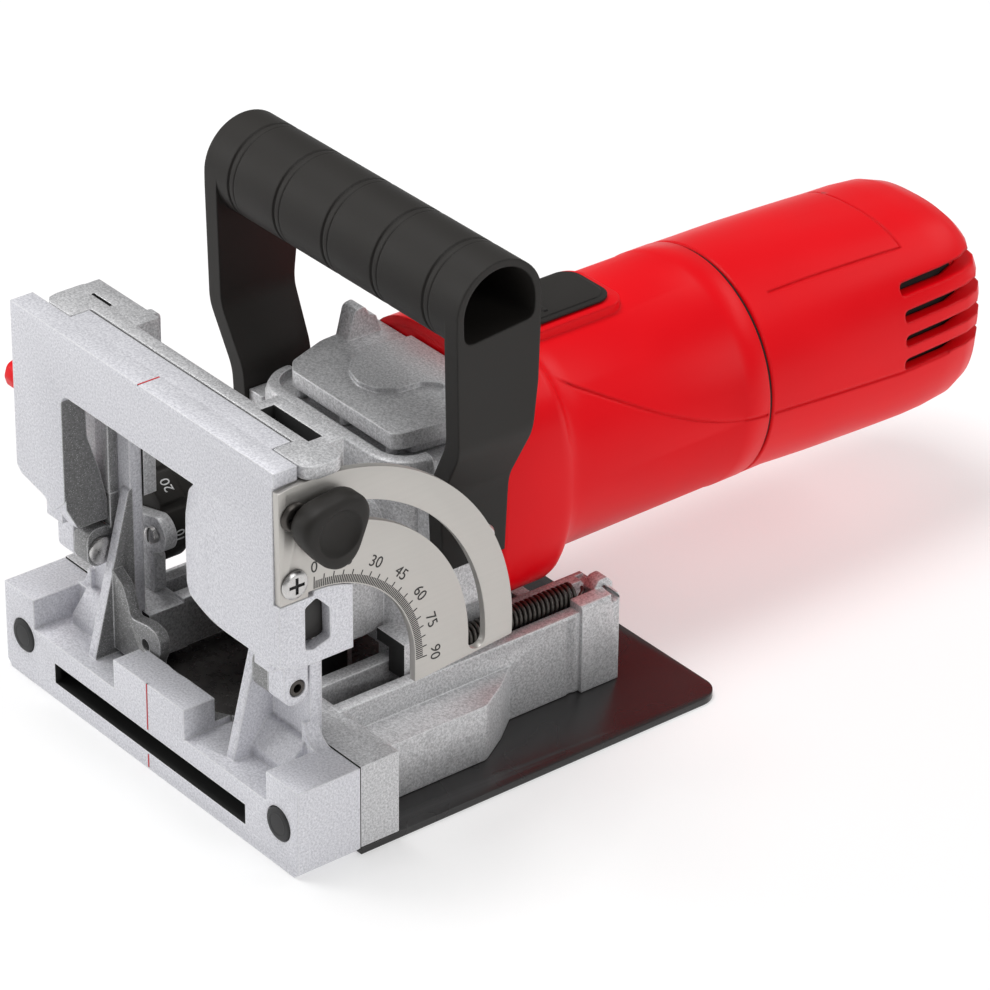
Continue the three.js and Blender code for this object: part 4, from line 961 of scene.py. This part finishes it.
def rear_cap():
    """Motor shell behind the seam, with four vents a side."""
    outer = loft("y", [ring(197.2, 35.5, 2.05)] + [cap_ring(y, cap_radius(y), cap_shape(y)) for y in
                 (197.6, 206, 214, 222, 230, 240, 250, 260, 268, 273, 277, 280, 283, 285, 287, 288.2, 289)])
    inner = loft("y", [cap_ring(195, 32.6, 2.05), cap_ring(205, 32.4, 2.05), cap_ring(240, 31.4, 2.1),
                       cap_ring(270, 29.8, 2.6), cap_ring(279, 27, 2.6), cap_ring(285.6, 19, 2.6)])
    b = cut(outer, inner)
    b = add(b, tube("y", 12.7, 10.4, 262, 287, 0, MOTOR_Z, 48, 0.1))
    cuts = [cyl("y", 5, 270, 295, 0, 46.5, 40)]
    for s in (1, -1):
        for i in range(4):
            z0 = 57 + 7.7 * i
            cuts.append(prism("x", rounded([(251, z0), (290, z0 - 0.2), (290, z0 + 3.8), (251, z0 + 3.8)],
                                           [1.8, 0, 0, 1.8], 6), s * 14, s * 60))
        seam = [cap_point(198 + 4 * i, z=61.7 - 5.1 * min(1, i * 4 / 53), side=s) for i in range(19)]
        cuts.append(sweep(seam, 0.45))
    panel = [cap_point(206 + 4 * i, x=-22) for i in range(14)]
    panel += [cap_point(258, x=-22 + 4 * i) for i in range(1, 11)]
    panel += [cap_point(258 - 4 * i, x=22) for i in range(14)]
    cuts.append(sweep(panel, 0.4))
    return cut(b, *cuts)


place(rear_cap(), "motor_shell_rear", RED, "motor_unit", ["rear_cap"], smooth=40)
liner = cut(loft("y", [cap_ring(247, 30.4, 2.1), cap_ring(268, 29.2, 2.4), cap_ring(278, 26.2, 2.6)]),
            loft("y", [cap_ring(246, 29.6, 2.1), cap_ring(268, 28.4, 2.4), cap_ring(279, 25.2, 2.6)]))
place(liner, "vent_liner", BLACK, "motor_unit")


def handle():
    """Bored grip bar between two cranked legs."""
    y, z, r, half = 78, 144, 14.4, 57
    prof = [(-half, r - 0.5), (-half + 0.5, r)]
    for c in (-44.5, -23.5, -1.5, 20.5, 43):
        prof += [(c + dx, r - dr) for dx, dr in
                 ((-1.7, 0), (-1.5, 0.4), (-0.9, 0.4), (-0.6, 0.05), (0.9, 0.05), (1.2, 0.3), (1.5, 0))]
    prof += [(half - 0.5, r), (half, r - 0.5)]
    bar = turned("x", y, z, prof, 112)
    side = arc(y, z, r, -90, 90, 30) + [(92.2, 136), (91.6, 118), (90, 103), (88, 62), (66.5, 62),
                                        (64.5, 103), (63.6, 140)]
    legs = []
    for s in (1, -1):
        corners = [(half, 160), (half, 103), (47.9, 85), (47.9, 62), (42.3, 62), (42.3, 86.5), (51.4, 104.4),
                   (51.4, 160)]
        front = rounded([(s * x, z) for x, z in corners], [0, 14, 14, 0, 0, 14, 14, 0], 8)
        legs.append(meet(prism("y", front, 50, 110), prism("x", side, s * 30, s * 70)))
    bore = arc(y, z, 12.2, -90, 90, 30)
    bore += rounded([(y + 12.2, z), (y + 12, z - 6), (y - 12, z - 8), (y - 12.2, z)], [0, 5, 4.5, 0], 10)
    b = add(bar, *legs)
    return cut(b, prism("x", bore, 6, 70), prism("x", bore, -70, -6),
               *[cyl("x", 2.3, s * 40, s * 50, y, 70, 32) for s in (1, -1)])


place(handle(), "loop_handle", BLACK, "motor_unit", ["handle"], smooth=32, bevel=0.0)


def slide_switch():
    """Thumb slider with a raised, ribbed pad."""
    def pad(k, x, y0, y1):
        return rrect(-x + k, x - k, y0 + k, y1 - k, 0.55 * x - k, 14)
    b = loft("z", [(102.1, pad(0, 10.4, 118, 158)), (102.8, pad(0, 10.4, 118, 158)),
                   (103.1, pad(0.4, 10.4, 118, 158))])
    top = loft("z", [(103, pad(0, 9, 119.5, 156.5)), (103.4, pad(0, 9, 119.5, 156.5)),
                     (103.8, pad(0.7, 9, 119.5, 156.5))])
    ridges = [prism("x", rounded([(122 + 3 * i, 103.5), (122.2 + 3 * i, 104.3), (123.2 + 3 * i, 104.4),
                                  (124 + 3 * i, 103.5)], 0.3), -7.5, 7.5) for i in range(5)]
    return add(b, top, box(-5, 5, 131, 139, 97.6, 102.5), *ridges)


place(slide_switch(), "switch_slider", BLACK, "switch", ["slide_switch"])
for side, s in (("right", 1), ("left", -1)):
    head = joined(turned("x", 78, 70, [(s * 38.3, 1.8), (s * 48.4, 1.8)], 32),
                  cut(turned("x", 78, 70, [(s * 48.2, 4.4), (s * 50.4, 4.4), (s * 51, 3.9)], 48),
                      prism("x", circle(78, 70, 2.3, 6), s * 49, s * 52)))
    place(head, f"handle_bolt_{side}", STEEL, "motor_unit", [f"handle_screw_{side}"])
place(joined(turned("y", *STOP_ROD, [(61.6, 1.6), (62.4, 2.4), (86, 2.4)], 40),
             prism("y", circle(*STOP_ROD, 4.2, 6), 84.6, 88)),
      "stop_screw", STEEL, "motor_unit", ["stop_rod"])
place(joined(turned("x", *LOCK, [(-43.5, 4.2), (-42.9, 5), (-36.5, 5)], 48),
             cyl("x", 3, -36.6, -33, *LOCK, 32)),
      "lock_button", BLACK, "spindle_lock", ["spindle_lock_button"])


# ------------------------------------------------------------------ stage, light and camera
floor_me = bpy.data.meshes.new("floor")
floor_me.from_pydata([(-6, -6, 0), (6, -6, 0), (6, 6, 0), (-6, 6, 0)], [], [(0, 1, 2, 3)])
floor = bpy.data.objects.new("floor", floor_me)
bpy.context.scene.collection.objects.link(floor)
fm, ft, fb, fco = material("pale_floor", "none")
ft.links.new(ramp(ft, noise(ft, fco, 3, 2), [(0.3, (0.62, 0.62, 0.62)), (0.7, (0.64, 0.64, 0.64))]),
             fb.inputs["Base Color"])
fb.inputs["Roughness"].default_value = 0.9
fb.inputs["Specular IOR Level"].default_value = 0.1
fb.inputs["Emission Color"].default_value = (1, 1, 1, 1)
fb.inputs["Emission Strength"].default_value = 0.4
floor_me.materials.append(fm)

world = bpy.data.worlds.new("studio")
bpy.context.scene.world = world
world.use_nodes = True
world.node_tree.nodes["Background"].inputs[0].default_value = (1, 1, 1, 1)
world.node_tree.nodes["Background"].inputs[1].default_value = 0.3


def area(name, loc, size, power, target=(0.02, 0.09, 0.06), colour=(1, 1, 1)):
    """Soft rectangular light aimed at the target."""
    li = bpy.data.lights.new(name, "AREA")
    li.shape, li.size, li.size_y, li.energy, li.color = "RECTANGLE", size[0], size[1], power, colour
    ob = bpy.data.objects.new(name, li)
    bpy.context.scene.collection.objects.link(ob)
    ob.location = loc
    ob.rotation_euler = (Vector(target) - Vector(loc)).to_track_quat("-Z", "Y").to_euler()


area("key_top", (-0.3, -0.1, 1.5), (0.7, 0.7), 13)
area("side_left", (-1.3, -0.9, 0.7), (0.7, 0.9), 8)
area("side_right", (1.5, 0.3, 0.8), (0.5, 1.0), 5.5)
area("back", (0.3, 1.5, 1.0), (1.2, 0.5), 5)

# The camera turns about a point on the tool: azimuth, height and roll, then its distance in metres.
AZ, EL, ROLL = rad(51.0102), rad(30.2453), rad(0.627)
DISTANCE = 1.417778
target = Vector((28.598, 100.0 - ORIGIN_Y, 65.937)) / 1000
d = Vector((math.sin(AZ) * math.cos(EL), -math.cos(AZ) * math.cos(EL), math.sin(EL)))
right = (-d).cross(Vector((0, 0, 1))).normalized()
up = right.cross(-d)
r2 = right * math.cos(ROLL) + up * math.sin(ROLL)
u2 = up * math.cos(ROLL) - right * math.sin(ROLL)
loc = target + d * DISTANCE
cam = bpy.data.cameras.new("camera")
cam.sensor_width, cam.lens, cam.clip_start, cam.clip_end = 36, 184.5064, 0.05, 20
cam_ob = bpy.data.objects.new("camera", cam)
bpy.context.scene.collection.objects.link(cam_ob)
cam_ob.matrix_world = Matrix(((r2.x, u2.x, d.x, loc.x), (r2.y, u2.y, d.y, loc.y), (r2.z, u2.z, d.z, loc.z),
                              (0, 0, 0, 1)))
bpy.context.scene.camera = cam_ob
bpy.context.scene.view_settings.view_transform = "Standard"
